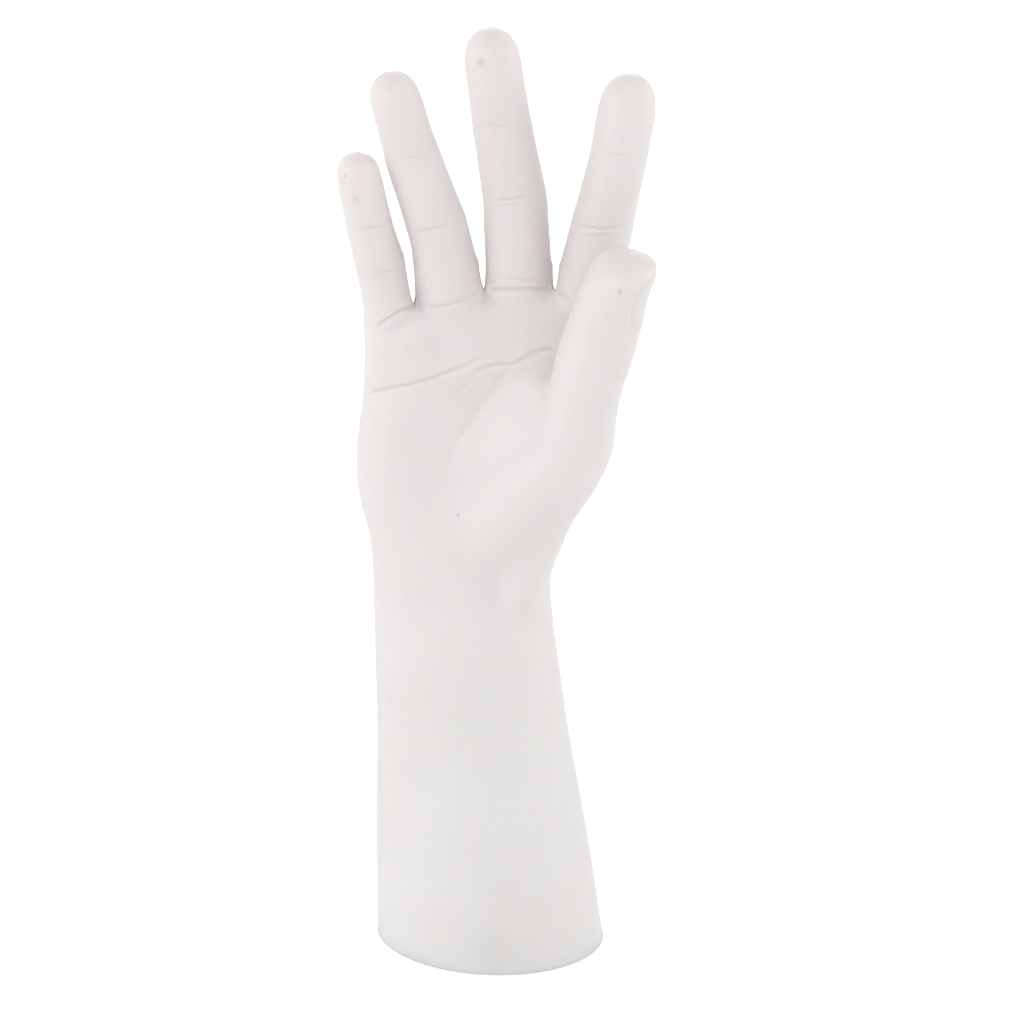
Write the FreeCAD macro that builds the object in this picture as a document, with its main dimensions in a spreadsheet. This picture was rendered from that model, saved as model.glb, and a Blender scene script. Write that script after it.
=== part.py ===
"""A life-size display hand that stands on its cut forearm.

The hand and forearm are one hollow moulding with a thin wall. A flat plate is bonded into its open lower end
and closes it, flush with the rim, so that the hand stands upright on a table.

Lengths are in millimetres and angles in degrees. +Z is up, the palm faces -Y and the thumb is on the +X side.
The origin is the centre of the standing face.
"""

import FreeCAD, Part
import math
import os

from FreeCAD import Vector

# name: value, in the order of the sheet
SIZES = {
    # forearm, from the standing face up to the wrist
    "forearm_length": 112.0,
    "base_width": 69.8,
    "base_depth": 59.6,
    "wrist_width": 52.0,
    "wrist_depth": 38.0,
    "wrist_aside": -8.0,
    "wrist_back": 4.0,
    # palm, from the wrist up to the line of the knuckles
    "palm_length": 75.0,
    "palm_width": 68.0,
    "palm_depth": 26.0,
    "palm_aside": 7.2,
    "palm_forward": 13.0,
    "palm_end_slope": 6.0,
    # mound at the root of the thumb, and the mound of the palm's other edge
    "thumb_mound_width": 40.0,
    "thumb_mound_depth": 31.0,
    "outer_mound_width": 27.0,
    "outer_mound_depth": 25.0,
    # moulding
    "wall": 2.5,
    "mouth_lip": 1.5,
    "mouth_depth": 4.0,
    # closing plate
    "bond_gap": 0.15,
    "collar_height": 6.0,
    "collar_wall": 2.0,
}

# Each finger's own sizes. Each bone leans forward, towards the palm's side, and aside, towards the thumb.
FINGER_SIZES = {
    "index": {
        "width": 17.5, "root_width": 19.0,
        "proximal": 38.5, "middle": 23.0, "distal": 24.0,
        "proximal_lean": 15.0, "middle_lean": 15.0, "distal_lean": 12.0,
        "proximal_aside": 11.4, "middle_aside": 11.0, "distal_aside": 7.0,
    },
    "middle": {
        "width": 17.6, "root_width": 19.0,
        "proximal": 43.0, "middle": 24.8, "distal": 26.8,
        "proximal_lean": 10.0, "middle_lean": 15.0, "distal_lean": 16.0,
        "proximal_aside": -2.1, "middle_aside": -9.3, "distal_aside": -7.8,
    },
    "ring": {
        "width": 16.2, "root_width": 18.0,
        "proximal": 40.0, "middle": 23.8, "distal": 26.0,
        "proximal_lean": 18.0, "middle_lean": 22.0, "distal_lean": 19.0,
        "proximal_aside": -10.8, "middle_aside": -17.4, "distal_aside": -13.0,
    },
    "little": {
        "width": 14.1, "root_width": 16.0,
        "proximal": 34.6, "middle": 16.4, "distal": 24.2,
        "proximal_lean": 25.0, "middle_lean": 30.0, "distal_lean": 25.0,
        "proximal_aside": -9.2, "middle_aside": -12.0, "distal_aside": -8.5,
    },
    "thumb": {
        "width": 19.8, "root_width": 20.5,
        "proximal": 31.6, "distal": 32.0,
        "proximal_lean": 31.0, "distal_lean": 18.0,
        "proximal_aside": 9.5, "distal_aside": 17.0,
    },
}

# The knuckles' places from the wrist's centre: towards the thumb as a share of the palm's width, forward as a
# share of the palm's depth, or of the thumb's mound for the thumb, and up as a share of the palm's length.
KNUCKLE_SHARES = {
    "index": (0.47, 0.48, 0.973),
    "middle": (0.253, 0.46, 1.0),
    "ring": (0.0235, 0.46, 0.979),
    "little": (-0.232, 0.346, 0.907),
    "thumb": (0.485, 0.903, 0.733),
}

# Forearm sections: share of the height from the standing face to the wrist, then how far the width, the
# depth and the place have gone from the lower end's to the wrist's.
FOREARM_SHARES = [
    (0.00, 0.00, 0.00, 0.00),
    (0.19, 0.19, 0.15, 0.19),
    (0.38, 0.44, 0.36, 0.39),
    (0.56, 0.72, 0.58, 0.58),
    (0.72, 0.90, 0.78, 0.75),
    (0.87, 0.97, 0.93, 0.91),
    (1.00, 1.00, 1.00, 1.00),
]

# The cavity's section below the standing face, where it runs out through the open end, in the same shares.
RUN_OUT_SHARES = [
    (-0.06, -0.06, -0.05, -0.06),
]

# Palm sections: share of the height from the wrist to the knuckles, then how far the width, the depth, the
# place aside and the place forward have gone from the wrist's to the knuckles'.
PALM_SHARES = [
    (0.20, 0.14, 0.10, 0.02, 0.18),
    (0.40, 0.62, 0.52, 0.06, 0.38),
    (0.60, 0.84, 0.80, 0.32, 0.58),
    (0.80, 0.96, 0.95, 0.74, 0.78),
    (1.00, 1.00, 1.00, 1.00, 1.00),
]

# The palm's rounded far end: height as a share of the palm's length, width and depth as shares of the palm's.
PALM_END_SHARES = [
    (1.10, 0.99, 0.97),
    (1.17, 0.96, 0.85),
    (1.21, 0.91, 0.62),
    (1.225, 0.86, 0.36),
]

# Along a finger: which bone, the share of its length, and the width and depth as shares of the finger's width.
FINGER_SHARES = [
    ("proximal", 0.72, 1.05, 0.95),
    ("proximal", 0.98, 1.02, 0.93),
    ("middle", 0.50, 0.97, 0.90),
    ("middle", 0.98, 0.92, 0.85),
    ("distal", 0.38, 0.90, 0.82),
]
ROOT_SHARE = 0.40
ROOT_DEPTH_SHARE = 0.95

# The thumb's bones beyond its knuckle, the same way.
THUMB_SHARES = [
    ("proximal", 0.50, 1.04, 1.00),
    ("proximal", 0.98, 1.04, 0.98),
    ("distal", 0.40, 1.00, 0.92),
]

# The dome of a fingertip: the share of its half-width that is left, and the share of the dome's length.
TIP_SHARES = [
    (0.98, 0.20),
    (0.88, 0.50),
    (0.70, 0.75),
    (0.42, 0.93),
]
TIP_WIDTH_SHARE = 0.86
TIP_DEPTH_SHARE = 0.72

# The thumb's mound: share of the way from the wrist to the thumb's knuckle, how far it then stands aside as
# a share of the mound's width and forward as a share of its depth, and its width and depth as shares.
THUMB_MOUND_SHARES = [
    (0.00, 0.12, -0.04, 0.44, 0.46),
    (0.30, 0.07, 0.02, 0.76, 0.80),
    (0.60, 0.00, 0.01, 0.97, 0.98),
    (0.82, -0.03, -0.03, 0.86, 0.92),
]

# The outer mound: share of the palm's length, place aside as a share of the palm's width, place forward as
# a share of the palm's depth, and its width and depth as shares of the mound's.
OUTER_MOUND_SHARES = [
    (0.02, -0.17, -0.02, 0.56, 0.66),
    (0.26, -0.225, 0.14, 0.86, 0.90),
    (0.50, -0.245, 0.30, 0.98, 1.00),
    (0.74, -0.23, 0.40, 0.92, 0.86),
    (0.96, -0.21, 0.50, 0.72, 0.56),
]

SECTION_POINTS = 24
SEAM_SHARE = 0.25
LOFT_DEGREE = 3
ROUND = 2.0
PALM_SQUARENESS = 2.5
BASE_TURN = -17.75
THUMB_ROLL = 62.0


def make_sheet(doc):
    """Writes every driving dimension to the spreadsheet, one aliased cell each."""
    sheet = doc.addObject("Spreadsheet::Sheet", "sizes")
    cells = dict(SIZES)
    for finger, sizes in FINGER_SIZES.items():
        for name, value in sizes.items():
            cells[f"{finger}_{name}"] = value
    for row, (alias, value) in enumerate(cells.items(), start=1):
        sheet.set(f"A{row}", alias)
        sheet.set(f"B{row}", str(value))
        sheet.setAlias(f"B{row}", alias)
    doc.recompute()
    return sheet


def blend(start, end, share):
    """The value that lies that share of the way from start to end."""
    return start + (end - start) * share


class Section:
    """One closed cross-section of a limb: its centre, its two half sizes and the way that it faces."""

    def __init__(self, centre, across, back, half_width, half_depth, squareness=ROUND):
        self.centre = centre
        self.across = across
        self.back = back
        self.half_width = half_width
        self.half_depth = half_depth
        self.squareness = squareness

    def wire(self, inset=0):
        """The section's outline, drawn inset from the outer surface."""
        half_width = self.half_width - inset
        half_depth = self.half_depth - inset
        power = ROUND / self.squareness
        points = []
        for step in range(SECTION_POINTS):
            turn = math.tau * (step / SECTION_POINTS + SEAM_SHARE)
            sideways = math.copysign(abs(math.cos(turn)) ** power, math.cos(turn)) * half_width
            backwards = math.copysign(abs(math.sin(turn)) ** power, math.sin(turn)) * half_depth
            points.append(self.centre + self.across * sideways + self.back * backwards)
        curve = Part.BSplineCurve()
        curve.interpolate(points, PeriodicFlag=True)
        return Part.Wire(curve.toShape())


def direction(lean, aside):
    """The unit vector that rises while leaning forward and aside by those angles."""
    rise = Vector(math.tan(math.radians(aside)), -math.tan(math.radians(lean)), 1)
    return rise.normalize()


def facing(along, roll=0):
    """The across and back directions of a section whose normal is along, turned by roll about it."""
    back = Vector(0, 1, 0) - along * along.y
    back.normalize()
    turned = FreeCAD.Rotation(along, roll)
    back = turned.multVec(back)
    return back.cross(along), back


def limb(doc, name, sections, inset=0, tip=None):
    """Adds the solid that runs smoothly through the sections, and ends in the point tip if there is one."""
    outlines = [section.wire(inset) for section in sections]
    if tip:
        outlines.append(Part.Vertex(tip))
    form = doc.addObject("Part::Feature", name)
    form.Shape = Part.makeLoft(outlines, True, False, False, LOFT_DEGREE)
    return form


def wrist_centre(size):
    return Vector(size.wrist_aside, size.wrist_back, size.forearm_length)


def forearm_sections(size, shares):
    """The forearm's sections at those shares of its height."""
    sections = []
    for height, width, depth, place in shares:
        across, back = facing(Vector(0, 0, 1), BASE_TURN * (1 - max(0, height)))
        sections.append(Section(
            Vector(size.wrist_aside * place, size.wrist_back * place, size.forearm_length * height),
            across, back,
            blend(size.base_width, size.wrist_width, width) / 2,
            blend(size.base_depth, size.wrist_depth, depth) / 2,
        ))
    return sections


def palm_sections(size):
    """The palm, from just above the wrist to its rounded far end."""
    sections = []
    wrist = wrist_centre(size)
    lean = math.degrees(math.atan2(size.palm_forward, size.palm_length))
    for height, width, depth, aside, forward in PALM_SHARES:
        across, back = facing(direction(lean * min(1, height * 2), -size.palm_end_slope * height))
        sections.append(Section(
            wrist + Vector(size.palm_aside * aside, -size.palm_forward * forward, size.palm_length * height),
            across, back,
            blend(size.wrist_width, size.palm_width, width) / 2,
            blend(size.wrist_depth, size.palm_depth, depth) / 2,
            blend(ROUND, PALM_SQUARENESS, width),
        ))
    across, back = facing(direction(lean, -size.palm_end_slope))
    for height, width, depth in PALM_END_SHARES:
        sections.append(Section(
            wrist + Vector(size.palm_aside, -size.palm_forward * height, size.palm_length * height),
            across, back,
            size.palm_width * width / 2,
            size.palm_depth * depth / 2,
            PALM_SQUARENESS,
        ))
    return sections


def finger_size(size, finger, name):
    return getattr(size, f"{finger}_{name}")


def knuckle(size, finger):
    """The place of the finger's knuckle."""
    aside, forward, up = KNUCKLE_SHARES[finger]
    depth = size.thumb_mound_depth if finger == "thumb" else size.palm_depth
    return wrist_centre(size) + Vector(size.palm_width * aside, -depth * forward, size.palm_length * up)


def finger_joints(size, finger, bones):
    """The finger's joints from its knuckle to its tip, and the direction of each bone."""
    joints = [knuckle(size, finger)]
    ways = []
    for bone in bones:
        way = direction(finger_size(size, finger, bone + "_lean"), finger_size(size, finger, bone + "_aside"))
        ways.append(way)
        joints.append(joints[-1] + way * finger_size(size, finger, bone))
    return joints, ways


def finger_sections(size, finger, bones, shares, roll=0):
    """The sections of a finger from its first share to the middle of its last bone."""
    joints, ways = finger_joints(size, finger, bones)
    width = finger_size(size, finger, "width")
    sections = []
    for bone, share, width_share, depth_share in shares:
        number = bones.index(bone)
        near_joint = share > 0.9 and number + 1 < len(bones)
        way = ways[number] + ways[number + 1] if near_joint else ways[number]
        across, back = facing(way.normalize() if near_joint else way, roll)
        centre = joints[number] + ways[number] * finger_size(size, finger, bone) * share
        sections.append(Section(centre, across, back, width * width_share / 2, width * depth_share / 2))
    return sections


def tip_sections(size, finger, bones, roll, inset):
    """The dome at the end of a finger, and the point that closes it."""
    joints, ways = finger_joints(size, finger, bones)
    way = ways[-1]
    across, back = facing(way, roll)
    width = finger_size(size, finger, "width")
    dome = width * TIP_WIDTH_SHARE / 2
    foot = joints[-1] - way * dome
    sections = []
    for left, height in TIP_SHARES:
        sections.append(Section(
            foot + way * (dome - inset) * height,
            across, back,
            (dome - inset) * left + inset,
            (width * TIP_DEPTH_SHARE / 2 - inset) * left + inset,
        ))
    return sections, joints[-1] - way * inset


def finger_form(doc, size, finger, inset=0):
    """One of the four fingers, from inside the palm to its tip."""
    bones = ["proximal", "middle", "distal"]
    joints, ways = finger_joints(size, finger, bones)
    across, back = facing(ways[0])
    root_width = finger_size(size, finger, "root_width")
    root = [
        Section(joints[0], across, back, root_width / 2, root_width * ROOT_DEPTH_SHARE / 2),
        Section(
            joints[0] + ways[0] * finger_size(size, finger, "proximal") * ROOT_SHARE,
            across, back, root_width / 2, root_width * ROOT_DEPTH_SHARE / 2,
        ),
    ]
    dome, tip = tip_sections(size, finger, bones, 0, inset)
    sections = root + finger_sections(size, finger, bones, FINGER_SHARES) + dome
    return limb(doc, f"{finger}_{'hollow' if inset else 'form'}", sections, inset, tip)


def thumb_form(doc, size, inset=0):
    """The thumb with the mound at its root, from inside the wrist to its tip."""
    bones = ["proximal", "distal"]
    joints, ways = finger_joints(size, "thumb", bones)
    wrist = wrist_centre(size)
    reach = joints[0] - wrist
    sections = []
    for share, aside, forward, width, depth in THUMB_MOUND_SHARES:
        way = direction(size.thumb_proximal_lean * share, size.thumb_proximal_aside * share)
        across, back = facing(way, THUMB_ROLL * share * share)
        sections.append(Section(
            wrist + reach * share
            + Vector(size.thumb_mound_width * aside, -size.thumb_mound_depth * forward, 0),
            across, back,
            size.thumb_mound_width * width / 2,
            size.thumb_mound_depth * depth / 2,
        ))
    across, back = facing(ways[0], THUMB_ROLL)
    root_width = size.thumb_root_width
    sections.append(Section(joints[0], across, back, root_width / 2, root_width / 2))
    sections += finger_sections(size, "thumb", bones, THUMB_SHARES, THUMB_ROLL)
    dome, tip = tip_sections(size, "thumb", bones, THUMB_ROLL, inset)
    return limb(doc, f"thumb_{'hollow' if inset else 'form'}", sections + dome, inset, tip)


def outer_mound_form(doc, size):
    """The fleshy mound along the palm's outer edge, below the little finger."""
    wrist = wrist_centre(size)
    lean = math.degrees(math.atan2(size.palm_forward, size.palm_length))
    across, back = facing(direction(lean, 0))
    sections = []
    for height, aside, forward, width, depth in OUTER_MOUND_SHARES:
        sections.append(Section(
            wrist + Vector(
                size.palm_width * aside,
                -size.palm_depth * forward,
                size.palm_length * height,
            ),
            across, back,
            size.outer_mound_width * width / 2,
            size.outer_mound_depth * depth / 2,
        ))
    return limb(doc, "outer_mound_form", sections)


def joined(doc, name, forms):
    """Fuses the forms into one."""
    fused = doc.addObject("Part::MultiFuse", name)
    fused.Shapes = forms
    return fused


def cut(doc, name, base, tool):
    """Takes tool away from base."""
    left = doc.addObject("Part::Cut", name)
    left.Base = base
    left.Tool = tool
    return left


def digit_forms(doc, size, inset=0):
    """The four fingers and the thumb with its mound, at their outer surface or inset by the wall."""
    forms = [finger_form(doc, size, finger, inset) for finger in ("index", "middle", "ring", "little")]
    forms.append(thumb_form(doc, size, inset))
    return forms


def bore_sections(size):
    """The forearm and palm for the cavity, which also runs out below the standing face."""
    return forearm_sections(size, RUN_OUT_SHARES + FOREARM_SHARES) + palm_sections(size)


def raised(doc, name, section, inset, top, below="0"):
    """Extrudes the lower end's outline up to the top that the expression gives, and down by below."""
    outline = doc.addObject("Part::Feature", name + "_outline")
    outline.Shape = section.wire(inset)
    block = doc.addObject("Part::Extrusion", name)
    block.Base = outline
    block.Dir = Vector(0, 0, 1)
    block.DirMode = "Custom"
    block.Solid = True
    block.setExpression("LengthFwd", top)
    block.setExpression("LengthRev", below)
    return block


def make_hand_shell(doc, size):
    """The hollow moulding: hand and forearm in one, open at its lower end and rebated for the plate."""
    arm = forearm_sections(size, FOREARM_SHARES) + palm_sections(size)
    outer_forms = [limb(doc, "arm_form", arm), outer_mound_form(doc, size)]
    outside = joined(doc, "outside", outer_forms + digit_forms(doc, size))
    bore = limb(doc, "arm_hollow", bore_sections(size), size.wall)
    inside = joined(doc, "inside", [bore] + digit_forms(doc, size, size.wall))
    hollowed = cut(doc, "hollowed", outside, inside)
    mouth = raised(doc, "mouth", arm[0], size.mouth_lip, "sizes.mouth_depth", "sizes.mouth_depth")
    shell = cut(doc, "hand_shell", hollowed, mouth)
    shell.Label = "hand_shell"
    return shell


def make_base_plate(doc, size):
    """The plate that closes the lower end, with a collar that follows the bore just above it."""
    end = forearm_sections(size, FOREARM_SHARES)[0]
    disc = raised(doc, "disc", end, size.mouth_lip + size.bond_gap, "sizes.mouth_depth")
    collar_inset = size.wall + size.bond_gap
    plug = limb(doc, "collar_plug", bore_sections(size), collar_inset)
    core = limb(doc, "collar_core", bore_sections(size), collar_inset + size.collar_wall)
    ring = cut(doc, "collar_ring", plug, core)
    slab = raised(doc, "collar_slab", end, 0, "sizes.mouth_depth + sizes.collar_height")
    collar = doc.addObject("Part::MultiCommon", "collar")
    collar.Shapes = [slab, ring]
    plate = joined(doc, "base_plate", [disc, collar])
    plate.Label = "base_plate"
    return plate


def check(doc, parts):
    """Stops if an object failed, or if a piece isn't a valid solid."""
    for item in doc.Objects:
        if "Invalid" in item.State or "Error" in item.State:
            raise RuntimeError(f"{item.Name} failed: {item.State}")
    for part in parts:
        shape = part.Shape
        if shape.isNull() or not shape.isValid() or not shape.Solids:
            raise RuntimeError(f"{part.Label} isn't a valid solid")
        print(part.Label, "solids", len(shape.Solids), "volume", round(shape.Volume), "box", shape.BoundBox)


def main():
    """Builds the document and writes each piece to its own file."""
    doc = FreeCAD.newDocument("display_hand")
    size = make_sheet(doc)
    parts = [make_hand_shell(doc, size), make_base_plate(doc, size)]
    doc.recompute()
    check(doc, parts)
    os.makedirs("parts", exist_ok=True)
    for part in parts:
        part.Shape.exportStep(f"parts/{part.Label}.step")


main()
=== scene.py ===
"""Blender model of a white moulded display hand that stands on its cut forearm.

The hand is modelled at one unit to the millimetre, from closed limbs that are fused, smoothed and then
sculpted, and is brought to metres at the end. +Z is up, the palm faces -Y and the thumb is on the +X side.
"""

import logging
import math
from collections.abc import Sequence
from dataclasses import dataclass, field, replace
from enum import Enum

import bmesh
import bpy
import numpy as np
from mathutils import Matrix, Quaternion, Vector
from mathutils.bvhtree import BVHTree


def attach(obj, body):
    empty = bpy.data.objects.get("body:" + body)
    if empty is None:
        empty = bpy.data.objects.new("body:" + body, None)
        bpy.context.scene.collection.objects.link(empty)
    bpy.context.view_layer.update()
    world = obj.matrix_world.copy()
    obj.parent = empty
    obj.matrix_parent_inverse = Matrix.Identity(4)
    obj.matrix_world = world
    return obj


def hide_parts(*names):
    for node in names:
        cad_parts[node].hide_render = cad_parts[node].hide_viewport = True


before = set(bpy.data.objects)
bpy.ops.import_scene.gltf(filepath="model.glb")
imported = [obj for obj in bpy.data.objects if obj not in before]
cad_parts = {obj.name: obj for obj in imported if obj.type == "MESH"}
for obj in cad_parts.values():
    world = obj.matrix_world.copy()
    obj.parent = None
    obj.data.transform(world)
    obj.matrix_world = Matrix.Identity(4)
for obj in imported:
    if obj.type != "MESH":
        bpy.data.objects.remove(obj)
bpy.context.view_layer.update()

log = logging.getLogger("display_hand")

MILLIMETRE = 0.001
ASIDE = Vector((1, 0, 0))
BACKWARDS = Vector((0, 1, 0))
UP = Vector((0, 0, 1))
Pixel = tuple[float, float]

# What keeps a division from being one by nought.
LEAST_LENGTH = 1e-9

# How many sides the cross-sections of the limbs have.
CORE_SIDES = 32
DIGIT_SIDES = 24
MASS_SIDES = 20
CUTTER_SIDES = 16


def direction(lean: float, aside: float) -> Vector:
    """Returns the unit vector that rises while it leans forward and aside by those angles in degrees."""
    return Vector((math.tan(math.radians(aside)), -math.tan(math.radians(lean)), 1)).normalized()


def blend(start: float, end: float, share: float) -> float:
    """Returns the value that lies that share of the way from start to end."""
    return start + (end - start) * share


def smooth_share(values: np.ndarray) -> np.ndarray:
    """Returns a smooth step from 0 to 1 for values that go from 0 to 1."""
    held = np.clip(values, 0, 1)
    return held * held * (3 - 2 * held)


def bell(values: np.ndarray, width: float) -> np.ndarray:
    """Returns 1 where a value is nought, which dies away over that width to either side."""
    return np.exp(-(values / width) ** 2)


def rounded(value: float, squareness: float) -> float:
    """Returns a sine or cosine as an outline needs it, which is a circle's at 2 and squarer above."""
    return math.copysign(abs(value) ** (2 / squareness), value)


def beside(places: np.ndarray, start: np.ndarray, end: np.ndarray) -> tuple[np.ndarray, np.ndarray]:
    """Measures places against a straight piece.

    Args:
        places: the places, one to a row.
        start: the piece's one end.
        end: its other end.

    Returns:
        Each place's distance from the piece, and its share of the way along it.
    """
    span = end - start
    share = np.clip((places - start) @ span / max(span @ span, LEAST_LENGTH), 0, 1)
    return np.linalg.norm(places - start - share[:, None] * span, axis=1), share


def points_of(mesh: bpy.types.Mesh) -> np.ndarray:
    """Reads a mesh's points.

    Args:
        mesh: the mesh.

    Returns:
        The places of its points, one to a row.
    """
    values = np.empty(len(mesh.vertices) * 3, dtype=np.float32)
    mesh.vertices.foreach_get("co", values)
    return values.reshape(-1, 3).astype(float)


def deselect_all() -> None:
    """Leaves object mode's selection empty."""
    if bpy.context.mode != "OBJECT":
        bpy.ops.object.mode_set(mode="OBJECT")
    bpy.ops.object.select_all(action="DESELECT")


def select_only(piece: bpy.types.Object) -> None:
    """Selects one object and makes it the active one.

    Args:
        piece: the object.
    """
    deselect_all()
    piece.select_set(True)
    bpy.context.view_layer.objects.active = piece


def apply_modifier(piece: bpy.types.Object, kind: str, **settings: object) -> None:
    """Adds a modifier with its settings and applies it.

    Args:
        piece: the object that is changed.
        kind: the modifier's type, such as "REMESH".
        settings: values set on the modifier before it is applied.
    """
    select_only(piece)
    modifier = piece.modifiers.new(kind.title(), kind)
    for name, value in settings.items():
        setattr(modifier, name, value)
    bpy.ops.object.modifier_apply(modifier=modifier.name)


def smooth(piece: bpy.types.Object, steps: int, group: str = "") -> None:
    """Smooths an object, or only its vertex group of that name, in that many steps."""
    apply_modifier(piece, "SMOOTH", factor=0.5, iterations=steps, vertex_group=group)


@dataclass(frozen=True)
class Ring:
    """One cross-section of a limb, in millimetres.

    Attributes:
        centre: the middle of the section.
        along: the way that the limb runs there.
        half_width: from the middle to either side.
        front: from the middle towards the palm's side.
        back: from the middle towards the back of the hand.
        roll: turn about the limb, in degrees.
        squareness: 2 is an ellipse, and more is squarer.
    """

    centre: Vector
    along: Vector
    half_width: float
    front: float
    back: float
    roll: float = 0.0
    squareness: float = 2.0

    def axes(self) -> tuple[Vector, Vector]:
        """Returns the directions across the section and towards its back."""
        back = (BACKWARDS - self.along * self.along.y).normalized()
        back = Quaternion(self.along, math.radians(self.roll)) @ back
        return back.cross(self.along), back

    def point(self, turn: float) -> Vector:
        """Works out a point of the outline.

        Args:
            turn: how far round it lies, in radians, from the section's side towards its back.

        Returns:
            The point's place.
        """
        across, back = self.axes()
        sideways = rounded(math.cos(turn), self.squareness) * self.half_width
        rise = rounded(math.sin(turn), self.squareness)
        return self.centre + across * sideways + back * rise * (self.back if rise > 0 else self.front)


def model_limb(name: str, rings: Sequence[Ring], sides: int = DIGIT_SIDES) -> bpy.types.Object:
    """Models a closed limb by extruding a disc from ring to ring.

    Args:
        name: the object's name.
        rings: the cross-sections in order. The last one is small and ends the limb.
        sides: how many points each section has.

    Returns:
        The limb, rounded by a subdivision surface.
    """
    deselect_all()
    bpy.ops.mesh.primitive_circle_add(vertices=sides, radius=1, fill_type="NGON", location=rings[0].centre)
    limb = bpy.context.object
    limb.name = name
    bpy.ops.object.transform_apply(location=True, rotation=False, scale=False)
    bpy.ops.object.mode_set(mode="EDIT")
    edit = bmesh.from_edit_mesh(limb.data)
    turns = edit.verts.layers.float.new("turn")
    for number, vertex in enumerate(sorted(edit.verts, key=lambda v: v.index)):
        vertex[turns] = math.tau * number / sides
        vertex.co = rings[0].point(vertex[turns])
    bmesh.update_edit_mesh(limb.data)
    for before, ring in zip(rings, rings[1:]):
        bpy.ops.mesh.extrude_region_move(TRANSFORM_OT_translate={"value": ring.centre - before.centre})
        edit = bmesh.from_edit_mesh(limb.data)
        turns = edit.verts.layers.float["turn"]
        for vertex in edit.verts:
            if vertex.select:
                vertex.co = ring.point(vertex[turns])
        bmesh.update_edit_mesh(limb.data)
    bpy.ops.mesh.select_all(action="SELECT")
    bpy.ops.mesh.normals_make_consistent(inside=False)
    bpy.ops.object.mode_set(mode="OBJECT")
    apply_modifier(limb, "SUBSURF", levels=2, render_levels=2)
    return limb


@dataclass(frozen=True)
class PhotoView:
    """The camera, at the photograph's viewing angle, in millimetres, degrees and pixels."""

    pitch: float = 18.0
    distance: float = 850.0
    target: tuple[float, float, float] = (6.7, 0.0, 134.0)
    focal_pixels: float = 2925.0
    frame_pixels: int = 1024
    sensor: float = 36.0

    @property
    def forward(self) -> Vector:
        """Returns the way the camera looks."""
        pitch = math.radians(self.pitch)
        return Vector((0, math.cos(pitch), -math.sin(pitch)))

    @property
    def upward(self) -> Vector:
        """Returns the camera's upward direction."""
        pitch = math.radians(self.pitch)
        return Vector((0, math.sin(pitch), math.cos(pitch)))

    @property
    def eye(self) -> Vector:
        """Returns the camera's place, in millimetres."""
        return Vector(self.target) - self.forward * self.distance

    def ray(self, pixel: Pixel) -> Vector:
        """Follows the camera's sight.

        Args:
            pixel: a pixel of its picture.

        Returns:
            The direction in which the camera sees that pixel.
        """
        half = self.frame_pixels / 2
        aside = (pixel[0] - half) / self.focal_pixels
        rise = (half - pixel[1]) / self.focal_pixels
        return (self.forward + ASIDE * aside + self.upward * rise).normalized()

    def make_camera(self) -> None:
        """Adds the camera and makes it the scene's own."""
        deselect_all()
        tilt = (math.radians(90 - self.pitch), 0, 0)
        bpy.ops.object.camera_add(location=self.eye * MILLIMETRE, rotation=tilt)
        camera = bpy.context.object
        camera.name = "photo_camera"
        camera.data.lens = self.focal_pixels / self.frame_pixels * self.sensor
        camera.data.sensor_width = self.sensor
        bpy.context.scene.camera = camera


@dataclass(frozen=True)
class ArmSizes:
    """The forearm and palm, in millimetres and degrees.

    Attributes:
        base_turn: how far the oval of the cut end is turned about the forearm.
        wrist: the wrist's middle.
        palm_aside: from the wrist to the knuckles, towards the thumb.
        palm_forward: from the wrist to the knuckles, towards the palm's side.
        palm_end_slope: how far the line of the knuckles falls towards the little finger.
        palm_squareness: the outline of the palm's section at the knuckles.
        below: how far the limb runs on below the standing face, before it is cut off.
    """

    forearm_length: float = 112.0
    base_width: float = 69.8
    base_depth: float = 59.6
    base_turn: float = -17.75
    wrist_width: float = 53.4
    wrist_depth: float = 37.0
    wrist: Vector = field(default_factory=lambda: Vector((-8.2, 4.0, 112.0)))
    palm_length: float = 75.0
    palm_width: float = 69.6
    palm_depth: float = 24.0
    palm_aside: float = 6.8
    palm_forward: float = 13.0
    palm_end_slope: float = 6.0
    palm_squareness: float = 2.6
    below: float = 6.0


# Share of the height to the wrist, then how far the width, the depth and the place have gone to the wrist's.
FOREARM_SHARES = (
    (0.00, 0.00, 0.00, 0.00),
    (0.10, 0.10, 0.08, 0.10),
    (0.24, 0.25, 0.20, 0.24),
    (0.38, 0.44, 0.36, 0.39),
    (0.52, 0.65, 0.54, 0.54),
    (0.66, 0.82, 0.72, 0.69),
    (0.80, 0.92, 0.87, 0.84),
    (0.92, 0.98, 0.97, 0.95),
    (1.00, 1.00, 1.00, 1.00),
)

# Height share, how far the width and depth have gone from the wrist's to the knuckles', how far the place has
# gone aside, and the front's share of the depth there.
PALM_SHARES = (
    (0.16, 0.04, 0.04, 0.06, 0.54),
    (0.32, 0.34, 0.20, 0.14, 0.56),
    (0.50, 0.62, 0.40, 0.42, 0.56),
    (0.68, 0.85, 0.62, 0.74, 0.54),
    (0.84, 0.96, 0.84, 0.92, 0.53),
    (0.98, 1.00, 0.96, 1.00, 0.54),
    (1.06, 0.99, 1.04, 1.00, 0.55),
    (1.13, 0.96, 1.20, 1.00, 0.55),
    (1.18, 0.92, 1.50, 1.00, 0.55),
    (1.205, 0.85, 1.90, 1.00, 0.55),
)


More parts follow.
